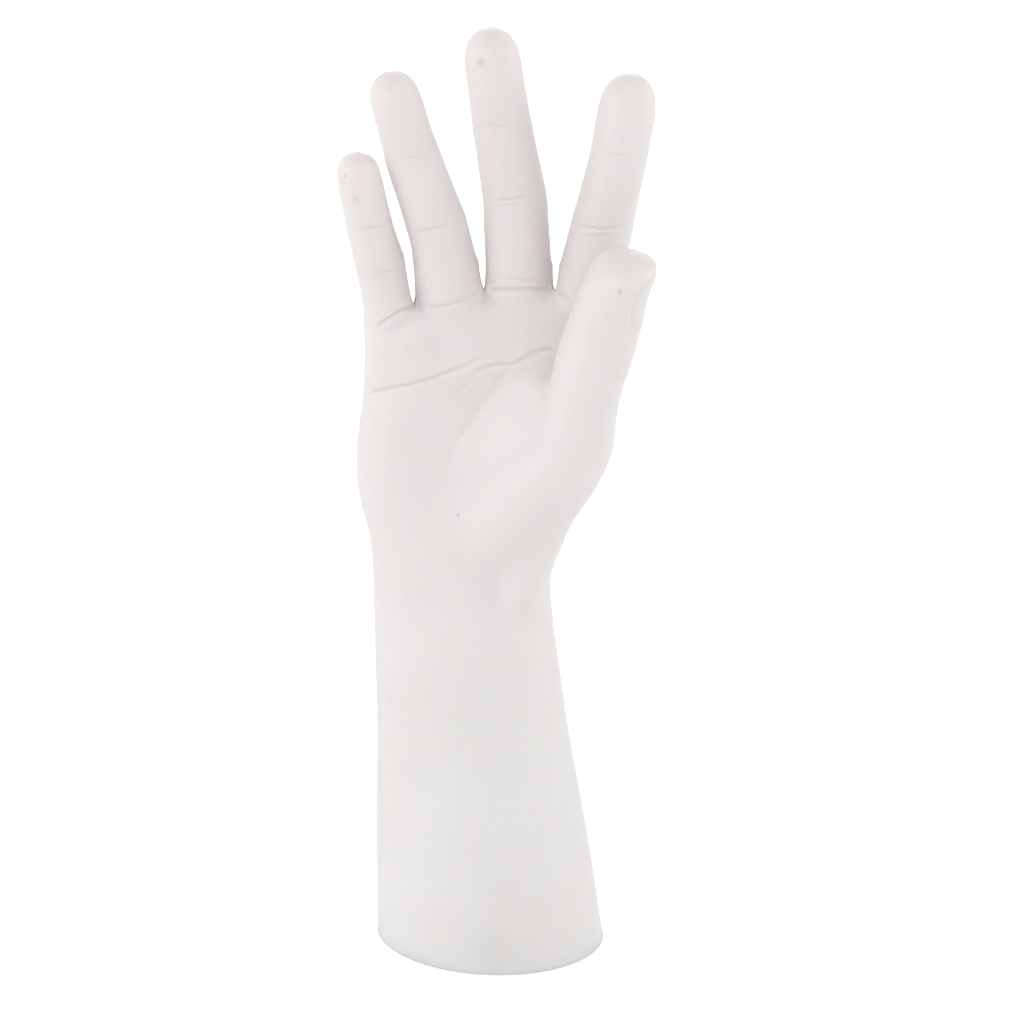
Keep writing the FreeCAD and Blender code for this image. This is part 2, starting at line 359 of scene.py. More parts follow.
class Arm:
    """The forearm, the palm and the fleshy masses on them.

    Attributes:
        sizes: the arm's driving dimensions.
    """

    def __init__(self, sizes: ArmSizes) -> None:
        """Keeps the arm's sizes."""
        self.sizes = sizes

    @property
    def palm_lean(self) -> float:
        """Returns how far the palm leans forward, in degrees."""
        return math.degrees(math.atan2(self.sizes.palm_forward, self.sizes.palm_length))

    def on_palm(self, across: float, forward: float, height: float) -> Vector:
        """Returns a place on the palm.

        Args:
            across: millimetres towards the thumb from the palm's middle.
            forward: millimetres out of the palm's middle plane, towards its front.
            height: share of the palm's length above the wrist.

        Returns:
            The place in the hand's frame.
        """
        size = self.sizes
        return size.wrist + Vector((
            size.palm_aside + across,
            -size.palm_forward * height - forward,
            size.palm_length * height,
        ))

    def forearm_ring(self, shares: Sequence[float], inset: float = 0.0) -> Ring:
        """Returns a section of the forearm.

        Args:
            shares: a row of FOREARM_SHARES.
            inset: how far inside the forearm's face it lies, in millimetres.

        Returns:
            The section.
        """
        size = self.sizes
        height, width, depth, place = shares
        half_depth = blend(size.base_depth, size.wrist_depth, depth) / 2 - inset
        return Ring(
            Vector((size.wrist.x * place, size.wrist.y * place, size.forearm_length * height)), UP,
            blend(size.base_width, size.wrist_width, width) / 2 - inset,
            half_depth, half_depth, size.base_turn * (1 - max(0, height)),
        )

    def core(self) -> bpy.types.Object:
        """Models the forearm and palm as one limb, from below the standing face to the webs."""
        size = self.sizes
        rings = [self.forearm_ring((-size.below / size.forearm_length,) * 4)]
        rings += [self.forearm_ring(shares) for shares in FOREARM_SHARES]
        for height, width, depth, aside, front_share in PALM_SHARES:
            full_depth = blend(size.wrist_depth, size.palm_depth, depth)
            place = Vector((size.palm_aside * aside, -size.palm_forward * height, size.palm_length * height))
            rings.append(Ring(
                size.wrist + place,
                direction(self.palm_lean * min(1, height * 2), -size.palm_end_slope * height),
                blend(size.wrist_width, size.palm_width, width) / 2,
                full_depth * front_share, full_depth * (1 - front_share), 0,
                blend(2, size.palm_squareness, min(1, max(0, width))),
            ))
        return model_limb("core", rings, CORE_SIDES)

    def mass(self, name: str, places: Sequence[tuple[float, ...]]) -> bpy.types.Object:
        """Models a fleshy mass that runs up the palm.

        Args:
            name: the object's name.
            places: across, forward, height share, half-width and half-depth of each section in turn.

        Returns:
            The mass, a closed limb.
        """
        way = direction(self.palm_lean, 0)
        rings = [
            Ring(self.on_palm(across, forward, height), way, half_width, half_depth, half_depth)
            for across, forward, height, half_width, half_depth in places
        ]
        return model_limb(name, rings, MASS_SIDES)

    def bar(
        self, name: str, places: Sequence[tuple[float, ...]], flatness: float = 1.0,
        way: Vector | None = None,
    ) -> bpy.types.Object:
        """Models a fleshy mass that runs across the palm.

        Args:
            name: the object's name.
            places: across, forward, height share and radius of each section in turn.
            flatness: the sections' depth as a share of their width.
            way: the direction that every section faces. Without it, each one faces along the bar.

        Returns:
            The bar, a closed limb.
        """
        centres = [self.on_palm(across, forward, height) for across, forward, height, _ in places]
        befores, afters = centres[:1] + centres[:-1], centres[1:] + centres[-1:]
        rings = []
        for centre, before, after, (*_, radius) in zip(centres, befores, afters, places):
            half_depth = radius * flatness
            rings.append(Ring(centre, way or (after - before).normalized(), radius, half_depth, half_depth))
        return model_limb(name, rings, MASS_SIDES)


# Fleshy masses up the palm, as Arm.mass takes them.
OUTER_MOUND = (
    (-14.4, -3.0, -0.10, 8.0, 8.0),
    (-17.4, 0.5, 0.08, 12.2, 11.5),
    (-21.4, 3.0, 0.30, 15.0, 13.5),
    (-23.2, 4.0, 0.52, 15.2, 13.5),
    (-22.4, 3.4, 0.70, 13.2, 12.0),
    (-22.2, 2.0, 0.88, 10.5, 10.0),
    (-22.4, 0.5, 1.02, 7.0, 7.0),
)
INNER_MOUND = (
    (-4.0, 2.5, 0.04, 8.0, 8.0),
    (-3.0, 4.6, 0.20, 15.0, 12.0),
    (0.0, 6.2, 0.36, 18.0, 13.2),
    (4.0, 6.8, 0.50, 19.0, 13.6),
    (8.5, 7.6, 0.64, 18.0, 13.2),
    (13.0, 7.6, 0.78, 16.0, 12.4),
    (17.5, 6.8, 0.90, 13.0, 10.6),
    (20.0, 5.0, 1.00, 8.0, 7.5),
)
WRIST_SIDE = (
    (7.0, 2.0, -0.20, 6.0, 9.0),
    (9.8, 5.5, -0.06, 8.0, 13.3),
    (10.9, 7.2, 0.07, 8.5, 13.8),
    (13.4, 8.6, 0.18, 9.0, 14.2),
    (16.6, 10.5, 0.29, 9.0, 14.5),
    (19.0, 10.5, 0.42, 7.0, 11.0),
)

# The heel of the palm, which joins the two mounds, and the row of pads below the fingers, as Arm.bar takes
# them.
HEEL = (
    (-22.0, -2.0, 0.22, 5.0),
    (-16.0, 3.0, 0.17, 11.0),
    (-6.0, 5.0, 0.14, 12.5),
    (6.0, 5.5, 0.15, 12.5),
    (15.0, 4.5, 0.20, 11.0),
    (21.0, 1.0, 0.26, 5.0),
)
RIDGE = (
    (-27.0, 2.0, 0.88, 5.0),
    (-21.0, 4.0, 0.92, 10.5),
    (-10.0, 5.0, 0.97, 12.0),
    (2.0, 5.4, 1.01, 12.2),
    (14.0, 5.4, 1.01, 12.0),
    (23.0, 4.6, 0.98, 11.0),
    (30.0, 2.5, 0.94, 5.0),
)
RIDGE_FLATNESS = 0.8


@dataclass(frozen=True)
class Profile:
    """The sections along a digit.

    Attributes:
        bones: the bone, the share of its length, then half-width, front and back as shares of the width.
        pad: along the last bone, the share of its length, then half-width as a share of the pad's, and front
            and back as shares of the width.
        dome: the share of the dome's radius that is left to the tip, then the width and depth that remain,
            and how far the middle has moved towards the nail, as a share of the width.
        dome_front: the dome's full front, as a share of the width.
    """

    bones: tuple[tuple[float, ...], ...]
    pad: tuple[tuple[float, ...], ...]
    dome: tuple[tuple[float, ...], ...]
    dome_front: float


FINGER_PROFILE = Profile(
    bones=(
        (0, 0.05, 0.52, 0.48, 0.52),
        (0, 0.25, 0.53, 0.50, 0.50),
        (0, 0.45, 0.54, 0.54, 0.47),
        (0, 0.65, 0.54, 0.55, 0.45),
        (0, 0.84, 0.515, 0.52, 0.455),
        (0, 1.00, 0.515, 0.47, 0.475),
        (1, 0.22, 0.495, 0.49, 0.45),
        (1, 0.50, 0.48, 0.505, 0.42),
        (1, 0.78, 0.465, 0.47, 0.41),
        (1, 1.00, 0.465, 0.42, 0.425),
    ),
    pad=((0.22, 1.01, 0.44, 0.39), (0.45, 1.02, 0.465, 0.345)),
    dome=(
        (1.28, 1.00, 1.00, 0.00),
        (0.88, 0.96, 0.96, 0.00),
        (0.52, 0.83, 0.84, 0.01),
        (0.23, 0.61, 0.62, 0.02),
        (0.03, 0.26, 0.27, 0.03),
    ),
    dome_front=0.43,
)
THUMB_PROFILE = Profile(
    bones=(
        (0, -0.22, 0.44, 0.42, 0.44),
        (0, 0.02, 0.52, 0.50, 0.56),
        (0, 0.25, 0.50, 0.50, 0.52),
        (0, 0.50, 0.49, 0.49, 0.48),
        (0, 0.78, 0.515, 0.49, 0.50),
        (0, 1.00, 0.525, 0.48, 0.52),
    ),
    pad=((0.22, 1.01, 0.475, 0.49), (0.45, 1.02, 0.485, 0.46)),
    dome=(
        (1.05, 1.00, 1.00, 0.00),
        (0.62, 0.95, 0.97, 0.02),
        (0.32, 0.82, 0.88, 0.06),
        (0.12, 0.60, 0.69, 0.11),
        (0.01, 0.28, 0.36, 0.15),
    ),
    dome_front=0.47,
)


@dataclass(frozen=True)
class DigitSizes:
    """One finger or the thumb, in millimetres and degrees.

    Attributes:
        name: the digit's name.
        knuckle: the place of its knuckle, from the wrist's middle.
        bones: the length of each bone beyond the knuckle.
        leans: how far each bone leans forward.
        asides: how far each bone leans towards the thumb.
        width: its width at the middle joint.
        pad_width: its width at the last pad, as a share of width.
        roll: the turn of its nail's side, about its length.
        back_share: the tip's thickness behind its middle line, as a share of width.
        free_from: how far beyond the knuckle the digit starts to leave the palm.
        blend_length: how long it takes to leave it.
        profile: its sections.
    """

    name: str
    knuckle: tuple[float, float, float]
    bones: tuple[float, ...]
    leans: tuple[float, ...]
    asides: tuple[float, ...]
    width: float
    pad_width: float = 0.91
    roll: float = 0.0
    back_share: float = 0.33
    free_from: float = 10.0
    blend_length: float = 10.0
    profile: Profile = FINGER_PROFILE


FINGERS = (
    DigitSizes(
        "index", (32.0, -12.5, 73.0), (38.5, 23.0, 24.2), (15, 15, 12), (11.4, 11.6, 8.4), 17.2, 0.92,
    ),
    DigitSizes(
        "middle", (17.2, -12.0, 75.0), (43.0, 24.8, 27.2), (10, 15, 16), (-1.8, -9.5, -7.6), 17.8, 0.87,
    ),
    DigitSizes(
        "ring", (1.6, -12.0, 73.4), (40.0, 23.8, 26.4), (18, 22, 19), (-10.8, -16.8, -14.0), 16.8, 0.84,
    ),
    DigitSizes(
        "little", (-15.8, -9.0, 68.0), (34.6, 16.4, 24.2), (25, 30, 25), (-9.6, -11.6, -8.6), 14.2, 0.87,
    ),
)
THUMB = DigitSizes(
    "thumb", (33.0, -28.0, 55.0), (31.6, 31.2), (31, 18), (9.5, 18.0), 20.8, 0.94,
    roll=-100.0, back_share=0.40, free_from=4.0, blend_length=14.0, profile=THUMB_PROFILE,
)


class Digit:
    """A finger or the thumb, and the places on it.

    Attributes:
        sizes: the digit's driving dimensions.
        joints: its knuckle, its joints and its tip.
        ways: the direction of each bone.
        squareness: its sections' outline.
        joint_share: the share of a bone beyond which a section turns halfway towards the next bone.
        own_reach: how far from its bones the skin is its own, as a share of its width.
        reach_fade: over how much that ends.
    """

    squareness = 2.15
    joint_share = 0.9
    own_reach = 0.75
    reach_fade = 0.35

    def __init__(self, sizes: DigitSizes, wrist: Vector) -> None:
        """Works out the digit's joints.

        Args:
            sizes: its driving dimensions.
            wrist: the wrist's middle.
        """
        self.sizes = sizes
        self.joints = [wrist + Vector(sizes.knuckle)]
        self.ways = [direction(lean, aside) for lean, aside in zip(sizes.leans, sizes.asides)]
        for way, length in zip(self.ways, sizes.bones):
            self.joints.append(self.joints[-1] + way * length)

    def ring(
        self, bone: int, share: float, half_width: float, front: float, back: float, lift: float = 0.0,
    ) -> Ring:
        """Lays a section across a bone.

        Args:
            bone: the bone's number, from 0.
            share: the share of its length at which the section lies.
            half_width: from the middle to either side, in millimetres.
            front: from the middle towards the palm's side, in millimetres.
            back: from the middle towards the nail's side, in millimetres.
            lift: how far the middle has moved towards the nail's side, in millimetres.

        Returns:
            The section.
        """
        way = self.ways[bone]
        if share > self.joint_share and bone + 1 < len(self.ways):
            way = (way + self.ways[bone + 1]).normalized()
        centre = self.joints[bone] + self.ways[bone] * self.sizes.bones[bone] * share
        ring = Ring(centre, way, half_width, front, back, self.sizes.roll, self.squareness)
        return replace(ring, centre=centre + ring.axes()[1] * lift)

    def rings(self) -> list[Ring]:
        """Returns the digit's sections from its knuckle to its tip."""
        size, profile, width = self.sizes, self.sizes.profile, self.sizes.width
        rings = [
            self.ring(bone, share, width * half_width, width * front, width * back)
            for bone, share, half_width, front, back in profile.bones
        ]
        last = len(self.ways) - 1
        half_pad = width * size.pad_width / 2
        for share, half_width, front, back in profile.pad:
            rings.append(self.ring(last, share, half_pad * half_width, width * front, width * back))
        for left, wide, deep, lift in profile.dome:
            share = 1 - half_pad * left / size.bones[last]
            front, back = width * profile.dome_front * deep, width * size.back_share * deep
            rings.append(self.ring(last, share, half_pad * wide, front, back, width * lift))
        return rings

    def model(self) -> bpy.types.Object:
        """Models the digit as a closed limb."""
        return model_limb(self.sizes.name, self.rings())

    def belonging(self, places: np.ndarray) -> np.ndarray:
        """Tells the digit's skin from the palm's.

        Args:
            places: the places, one to a row.

        Returns:
            The share by which each place belongs to the free digit and not to the palm.
        """
        joints = [np.array(joint) for joint in self.joints]
        along = (places - joints[0]) @ np.array(self.ways[0])
        gap = np.full(len(places), np.inf)
        for start, end in zip(joints, joints[1:]):
            gap = np.minimum(gap, beside(places, start, end)[0])
        near = 1 - smooth_share((gap / self.sizes.width - self.own_reach) / self.reach_fade)
        return near * smooth_share((along - self.sizes.free_from) / self.sizes.blend_length)


# The mound that carries the thumb: the share of the way from the wrist to the thumb's knuckle, millimetres
# aside and forward of it, and half-width, front and back in millimetres.
THUMB_MOUND = (
    (-0.20, 1.5, -2.0, 9.0, 8.0, 8.0),
    (-0.02, 1.5, -0.5, 13.5, 11.5, 10.5),
    (0.20, 0.6, 1.0, 17.0, 15.0, 12.5),
    (0.42, -0.6, 1.4, 19.0, 16.2, 13.0),
    (0.64, -0.4, 0.8, 20.6, 15.6, 13.2),
    (0.82, 0.3, 0.2, 18.0, 14.6, 12.6),
    (0.97, 0.4, 0.0, 13.4, 13.0, 11.0),
    (1.08, 0.4, 0.6, 8.0, 8.0, 7.5),
)

# The web of skin between the thumb and the palm: millimetres above the middle between the two knuckles, then
# half-width and half-depth.
WEB = ((-26, 6.0, 5.0), (-16, 9.0, 8.0), (-6, 9.5, 8.0), (1, 8.5, 6.0), (6, 6.0, 3.4), (9, 2.0, 1.2))


@dataclass(frozen=True)
class Slit:
    """The narrow gap between two fingers' roots, as the camera sees through it.

    Attributes:
        name: the fingers that it parts.
        pixel: its middle in the photograph.
        half_width: half its width there, in millimetres.
        half_length: from there to its rounded end at the web, in millimetres.
        slant: how far its top leans towards the thumb, in degrees.
    """

    name: str
    pixel: Pixel
    half_width: float
    half_length: float
    slant: float


SLITS = (
    Slit("little_ring_slit", (407.5, 250), 1.15, 15.6, -15.8),
    Slit("ring_middle_slit", (481.3, 246), 1.00, 12.4, -5.4),
    Slit("middle_index_slit", (556.6, 248), 0.95, 11.9, 6.2),
)


@dataclass(frozen=True)
class SkinSizes:
    """How the masses become one skin, in millimetres, degrees and steps of smoothing.

    Attributes:
        voxel: the size of the cells in which the masses are fused.
        smoothing: steps over the whole skin, then over the palm, then round a slit.
        wrist_blend: the height at which the palm's smoothing sets in, and over how much it grows.
        mound_roll: how far the thumb's mound is turned about its length, at its top.
        web_slant: how far the thumb's web leans forward over its height, as a share of it.
        web_place: how far the web lies towards the thumb, then its lean and its turn.
        knuckle_place: from a knuckle's joint to the middle of its rounded end.
        knuckle_radius: that end's radius as a share of the finger's width.
        knuckle_stretch: how far it is stretched each way.
        slit_nearer: how much nearer to the camera than its target the slits' middles lie.
        slit_reaches: from a slit's middle to the cutter's end, and to where it tapers.
        slit_margin: how far round a slit the skin is softened.
    """

    voxel: float = 1.0
    smoothing: tuple[int, int, int] = (10, 150, 14)
    wrist_blend: tuple[float, float] = (80.0, 26.0)
    mound_roll: float = 62.0
    web_slant: float = 0.22
    web_place: tuple[float, float, float] = (1.5, 14.0, 68.0)
    knuckle_place: tuple[float, float, float] = (0.0, 1.6, 1.0)
    knuckle_radius: float = 0.52
    knuckle_stretch: tuple[float, float, float] = (1.0, 1.12, 1.35)
    slit_nearer: float = 14.0
    slit_reaches: tuple[float, float] = (30.0, 28.0)
    slit_margin: float = 3.2


class HandModel:
    """The whole moulded hand as one closed skin.

    Attributes:
        sizes: how the masses are fused.
        arm: the forearm and palm.
        fingers: the four fingers, from the index to the little one.
        thumb: the thumb.
        weight_steps: how finely the skin is divided between the palm and the digits.
    """

    weight_steps = 20

    def __init__(self) -> None:
        """Lays out the arm and the digits."""
        self.sizes = SkinSizes()
        self.arm = Arm(ArmSizes())
        wrist = self.arm.sizes.wrist
        self.fingers = [Digit(sizes, wrist) for sizes in FINGERS]
        self.thumb = Digit(THUMB, wrist)

    def thumb_mound(self) -> bpy.types.Object:
        """Models the mound at the root of the thumb."""
        wrist = self.arm.sizes.wrist
        reach = self.thumb.joints[0] - wrist
        lean, aside = THUMB.leans[0], THUMB.asides[0]
        rings = []
        for share, to_side, forward, half_width, front, back in THUMB_MOUND:
            held = min(1, max(0, share))
            rings.append(Ring(
                wrist + reach * share + Vector((to_side, -forward, 0)), direction(lean * held, aside * held),
                half_width, front, back, self.sizes.mound_roll * held * held,
            ))
        return model_limb("thumb_mound", rings)

    def web(self) -> bpy.types.Object:
        """Models the web of skin between the thumb and the palm."""
        middle = (self.thumb.joints[0] + self.fingers[0].joints[0]) / 2
        aside, lean, roll = self.sizes.web_place
        rings = [
            Ring(middle + Vector((aside, self.sizes.web_slant * -rise, rise)), direction(lean, 0),
                 half_width, half_depth, half_depth, roll)
            for rise, half_width, half_depth in WEB
        ]
        return model_limb("web", rings, MASS_SIDES)

    def knuckle(self, finger: Digit) -> bpy.types.Object:
        """Models the rounded bone end that shows on the back of the hand.

        Args:
            finger: the finger that starts there.

        Returns:
            The bone end, a closed ball.
        """
        size = self.sizes
        deselect_all()
        place = finger.joints[0] + Vector(size.knuckle_place)
        radius = finger.sizes.width * size.knuckle_radius
        bpy.ops.mesh.primitive_uv_sphere_add(segments=32, ring_count=16, radius=radius, location=place)
        knuckle = bpy.context.object
        knuckle.name = finger.sizes.name + "_knuckle"
        bpy.ops.transform.resize(value=size.knuckle_stretch, center_override=place)
        bpy.ops.object.transform_apply(location=True, rotation=True, scale=True)
        return knuckle

    def forms(self) -> list[bpy.types.Object]:
        """Models every mass of the hand."""
        arm = self.arm
        forms = [arm.core(), self.thumb_mound(), self.thumb.model()]
        forms += [finger.model() for finger in self.fingers]
        forms += [arm.mass("outer_mound", OUTER_MOUND), arm.bar("heel", HEEL, way=ASIDE), self.web()]
        forms += [self.knuckle(finger) for finger in self.fingers]
        forms += [arm.bar("ridge", RIDGE, RIDGE_FLATNESS), arm.mass("inner_mound", INNER_MOUND)]
        forms.append(arm.mass("wrist_side", WRIST_SIDE))
        return forms

    def mark_palm(self, hand: bpy.types.Object) -> None:
        """Gives the skin the vertex group "palm".

        Args:
            hand: the skin. Each of its points gets the share by which it belongs to the palm, not to a digit.
        """
        places = points_of(hand.data)
        start, growth = self.sizes.wrist_blend
        shares = smooth_share((places[:, 2] - start) / growth)
        for digit in [*self.fingers, self.thumb]:
            shares *= 1 - digit.belonging(places)
        group = hand.vertex_groups.new(name="palm")
        steps = np.round(shares * self.weight_steps).astype(int)
        for step in range(1, self.weight_steps + 1):
            group.add(np.flatnonzero(steps == step).tolist(), step / self.weight_steps, "REPLACE")

    def cut_slit(self, hand: bpy.types.Object, slit: Slit, view: PhotoView) -> None:
        """Parts two fingers down to their web, where the fused skin has closed the gap.

        Args:
            hand: the skin.
            slit: the gap between them.
            view: the camera that looks through it.
        """
        size = self.sizes
        way = view.ray(slit.pixel)
        middle = view.eye + way * (view.distance - size.slit_nearer)
        end, taper = size.slit_reaches
        rings = [
            Ring(middle + way * reach, way, slit.half_width, slit.half_length, slit.half_length, slit.slant)
            for reach in (-end, -taper, 0, taper, end)
        ]
        blade = model_limb(slit.name, rings, CUTTER_SIDES)
        apply_modifier(hand, "BOOLEAN", object=blade, operation="DIFFERENCE", solver="EXACT")
        bpy.data.objects.remove(blade)
        reach = points_of(hand.data) - np.array(middle)
        across, back = (np.array(axis) for axis in rings[0].axes())
        gap = np.hypot(
            reach @ across / (slit.half_width + size.slit_margin),
            reach @ back / (slit.half_length + size.slit_margin),
        )
        group = hand.vertex_groups.new(name="slit")
        group.add(np.flatnonzero(gap < 1).tolist(), 1.0, "REPLACE")
        smooth(hand, size.smoothing[2], "slit")
        hand.vertex_groups.clear()

    def model(self, view: PhotoView) -> bpy.types.Object:
        """Fuses the masses into one smooth closed skin, and parts the fingers' roots.

        Args:
            view: the camera that looks through the gaps between them.

        Returns:
            The hand, in millimetres.
        """
        forms = self.forms()
        deselect_all()
        for form in forms:
            form.select_set(True)
        bpy.context.view_layer.objects.active = forms[0]
        bpy.ops.object.join()
        hand = bpy.context.object
        hand.name = "moulded_hand"
        apply_modifier(hand, "REMESH", mode="VOXEL", voxel_size=self.sizes.voxel)
        smooth(hand, self.sizes.smoothing[0])
        self.mark_palm(hand)
        smooth(hand, self.sizes.smoothing[1], "palm")
        hand.vertex_groups.clear()
        log.info("fused skin: %d faces", len(hand.data.polygons))
        for slit in SLITS:
            self.cut_slit(hand, slit, view)
        return hand


@dataclass(frozen=True)
class Line:
    """A narrow form along a path on the skin: a crease, a wrinkle, a tendon or a vein.

    Attributes:
        name: what it is.
        pixels: the photograph's pixels that it passes, where the photograph shows it.
        width: half its width, in millimetres.
        depth: how deep it is carved, in millimetres. A negative depth raises it.
        lip: how far the skin beside it stands up, as a share of the depth.
        fade: the share of its length over which either end dies away.
        tone: how much shade is painted along it, from 0 to 1.
    """

    name: str
    pixels: tuple[Pixel, ...] = ()
    width: float = 0.55
    depth: float = 0.3
    lip: float = 0.25
    fade: tuple[float, float] = (0.3, 0.3)
    tone: float = 0.5


# The palm's lines and the folds at the fingers' roots. The last number of each is the shade painted along it.
PALM_LINES = (
    Line("heart_line", ((367, 393), (376, 391), (388, 388), (412, 384), (433, 378), (451, 371), (470, 363),
                        (484, 356), (494, 349), (500, 343)), 0.65, 0.42, 0.3, (0.10, 0.40), 0.35),
    Line("head_line", ((446, 388), (456, 384), (475, 373), (489, 366), (503, 364), (514, 363), (528, 356),
                       (540, 350), (550, 349), (556, 350)), 0.65, 0.34, 0.3, (0.5, 0.04), 0.30),
    Line("head_line_end", ((514, 363), (528, 356), (540, 350), (556, 350)), 1.4, 0.32, 0.2, (0.5, 0.3), 0.15),
    Line("life_line", ((516, 362), (503, 377), (493, 391), (479, 409), (470, 423), (458, 442), (451, 458),
                       (444, 475), (442, 489)), 1.5, 0.36, 0.0, (0.12, 0.5), 0.06),
    Line("palm_branch", ((444, 397), (458, 391), (470, 383), (482, 375)), 0.8, 0.16, 0.3, (0.4, 0.4), 0.12),
    Line("thumb_web_fold", ((548, 371), (544, 378), (542, 385)), 0.8, 0.2, 0.2, (0.2, 0.6), 0.1),
    Line("little_root", ((374, 328), (378, 325), (393, 316), (406, 309), (419, 305)),
         0.65, 0.50, 0.2, (0.20, 0.1), 0.45),
    Line("ring_root", ((425, 307), (434, 307), (444, 306), (461, 301), (481, 291)),
         0.6, 0.36, 0.2, (0.15, 0.1), 0.35),
    Line("ring_root_upper", ((430, 303), (445, 301), (461, 297), (474, 291)),
         0.5, 0.14, 0.2, (0.4, 0.4), 0.2),
    Line("middle_root", ((487, 289), (504, 289), (528, 289), (550, 288)), 0.6, 0.45, 0.2, (0.1, 0.1), 0.38),
    Line("middle_root_upper", ((493, 280), (512, 278), (530, 280), (540, 282)),
         0.5, 0.16, 0.2, (0.35, 0.35), 0.25),
    Line("index_root", ((557, 290), (562, 295), (568, 300), (573, 303)), 0.6, 0.34, 0.2, (0.15, 0.3), 0.3),
)

# The folds across the fingers' palm sides. The last number of each is the shade painted along it.
FINGER_LINES = (
    Line("little_last_joint", ((343, 228), (354, 229), (363, 229), (377, 227), (388, 225)),
         0.5, 0.20, 0.3, (0.35, 0.35), 0.28),
    Line("little_middle_joint", ((354, 273), (373, 273), (385, 272), (397, 270)),
         0.5, 0.20, 0.3, (0.35, 0.35), 0.28),
    Line("ring_last_joint", ((396, 162), (403, 160), (412, 157), (420, 158), (430, 154)),
         0.5, 0.18, 0.4, (0.4, 0.4), 0.2),
    Line("ring_middle_joint", ((411, 233), (419, 231), (427, 230), (435, 228), (443, 226), (454, 222)),
         0.5, 0.20, 0.3, (0.35, 0.35), 0.28),
    Line("middle_last_joint", ((480, 122), (490, 125), (501, 126), (515, 122)),
         0.5, 0.16, 0.4, (0.4, 0.4), 0.15),
    Line("middle_middle_joint", ((490, 202), (501, 200), (512, 199), (525, 196), (535, 193)),
         0.5, 0.22, 0.4, (0.3, 0.4), 0.3),
    Line("middle_middle_joint_lower", ((494, 206), (505, 205), (517, 204), (528, 202)),
         0.5, 0.15, 0.4, (0.4, 0.4), 0.2),
    Line("index_last_joint", ((597, 150), (608, 153), (619, 155), (633, 153)),
         0.5, 0.20, 0.4, (0.4, 0.4), 0.2),
    Line("index_middle_joint", ((572, 222), (587, 227), (603, 229), (616, 227), (626, 223)),
         0.5, 0.28, 0.4, (0.25, 0.35), 0.35),
    Line("index_middle_joint_lower", ((580, 234), (589, 236), (600, 235), (615, 235)),
         0.5, 0.20, 0.4, (0.4, 0.4), 0.25),
)

# The bending tendons that show softly at the front of the wrist.
WRIST_LINES = (
    Line("outer_tendon", ((402, 548), (403, 571), (403, 600), (402, 632), (402, 665)),
         2.6, -0.30, 0.0, (0.4, 0.4), 0),
    Line("middle_tendon", ((458, 590), (460, 638), (461, 660), (461, 687), (461, 720)),
         2.8, -0.32, 0.0, (0.4, 0.4), 0),
    Line("tendon_hollow", ((497, 560), (497, 580), (496, 606), (494, 632), (491, 660)),
         3.0, 0.36, 0.0, (0.4, 0.4), 0),
)


@dataclass(frozen=True)
class Swell:
    """A broad rise of the skin, or a hollow where its height is negative, in millimetres."""

    pixel: Pixel
    radius: float
    height: float


PALM_SWELLS = (
    Swell((413, 336), 8.0, 0.9), Swell((466, 316), 8.0, 0.9), Swell((513, 317), 8.0, 0.8),
    Swell((542, 316), 6.5, 0.4), Swell((443, 354), 7.0, -0.8), Swell((486, 334), 5.5, -0.5),
    Swell((425, 425), 14.0, -0.6), Swell((533, 390), 5.5, 1.2), Swell((420, 311), 4.0, 0.6),
    Swell((484, 298), 4.0, 0.6), Swell((369, 403), 4.0, -0.7), Swell((363, 425), 7.0, 0.5),
)


@dataclass(frozen=True)
class BackSwell:
    """A broad rise or hollow of the skin on the back of the hand, in millimetres and degrees.

    Attributes:
        aside: from the joint that it belongs to, towards the thumb.
        up: from that joint, upwards.
        radius: how far it reaches.
        height: how far it rises. Where it is negative, the skin is hollowed.
        slant: how far from straight behind the skin is looked for.
    """

    aside: float
    up: float
    radius: float
    height: float
    slant: float = 0.0


WRIST_BONE = BackSwell(-15.0, -8.0, 7.5, 2.4, 12.0)
KNUCKLE_HEAD = BackSwell(0.0, 1.0, 7.5, 2.0)
KNUCKLE_GAP = BackSwell(0.0, 5.0, 6.5, -1.1)
HAND_HOLLOW = BackSwell(-1.0, -16.0, 9.0, -0.6)


@dataclass(frozen=True)
class Speck:
    """A dark spot on the skin, most of them pinholes of the moulding: its pixel, its radius in millimetres
    and its strength.
    """

    pixel: Pixel
    radius: float
    strength: float


SPECKS = (
    Speck((481, 62), 0.9, 0.40), Speck((345, 176), 0.4, 0.40), Speck((342, 182), 0.9, 0.18),
    Speck((356, 199), 0.8, 0.20), Speck((620, 292), 0.4, 0.50), Speck((458, 515), 0.30, 0.80),
    # A broad faint darkening low on the front of the forearm.
    Speck((492, 948), 6.0, 0.07),
)
SPECK_DEPTH = 0.2


class Mark(Enum):
    """What darkens the skin, as the name of the mesh attribute that holds how much: shade painted in the
    creases and round the nails, and the pinholes.
    """

    # Shade painted in the creases, the joint wrinkles and the grooves round the nails.
    CREASE = "crease"
    SPECK = "speck"


def curve_through(points: np.ndarray, spacing: float = 0.6) -> np.ndarray:
    """Lays a smooth curve.

    Args:
        points: the places that it passes, one to a row.
        spacing: about how far apart its own points lie, in millimetres.

    Returns:
        The curve's points, one to a row.
    """
    ends = np.vstack([2 * points[0] - points[1], points, 2 * points[-1] - points[-2]])
    curve = [points[0]]
    for before, start, end, after in zip(ends, ends[1:], ends[2:], ends[3:]):
        steps = max(1, int(np.linalg.norm(end - start) / spacing))
        for step in range(1, steps + 1):
            share = step / steps
            curve.append(0.5 * (
                2 * start + (end - before) * share + (2 * before - 5 * start + 4 * end - after) * share ** 2
                + (3 * start - before - 3 * end + after) * share ** 3
            ))
    return np.array(curve)


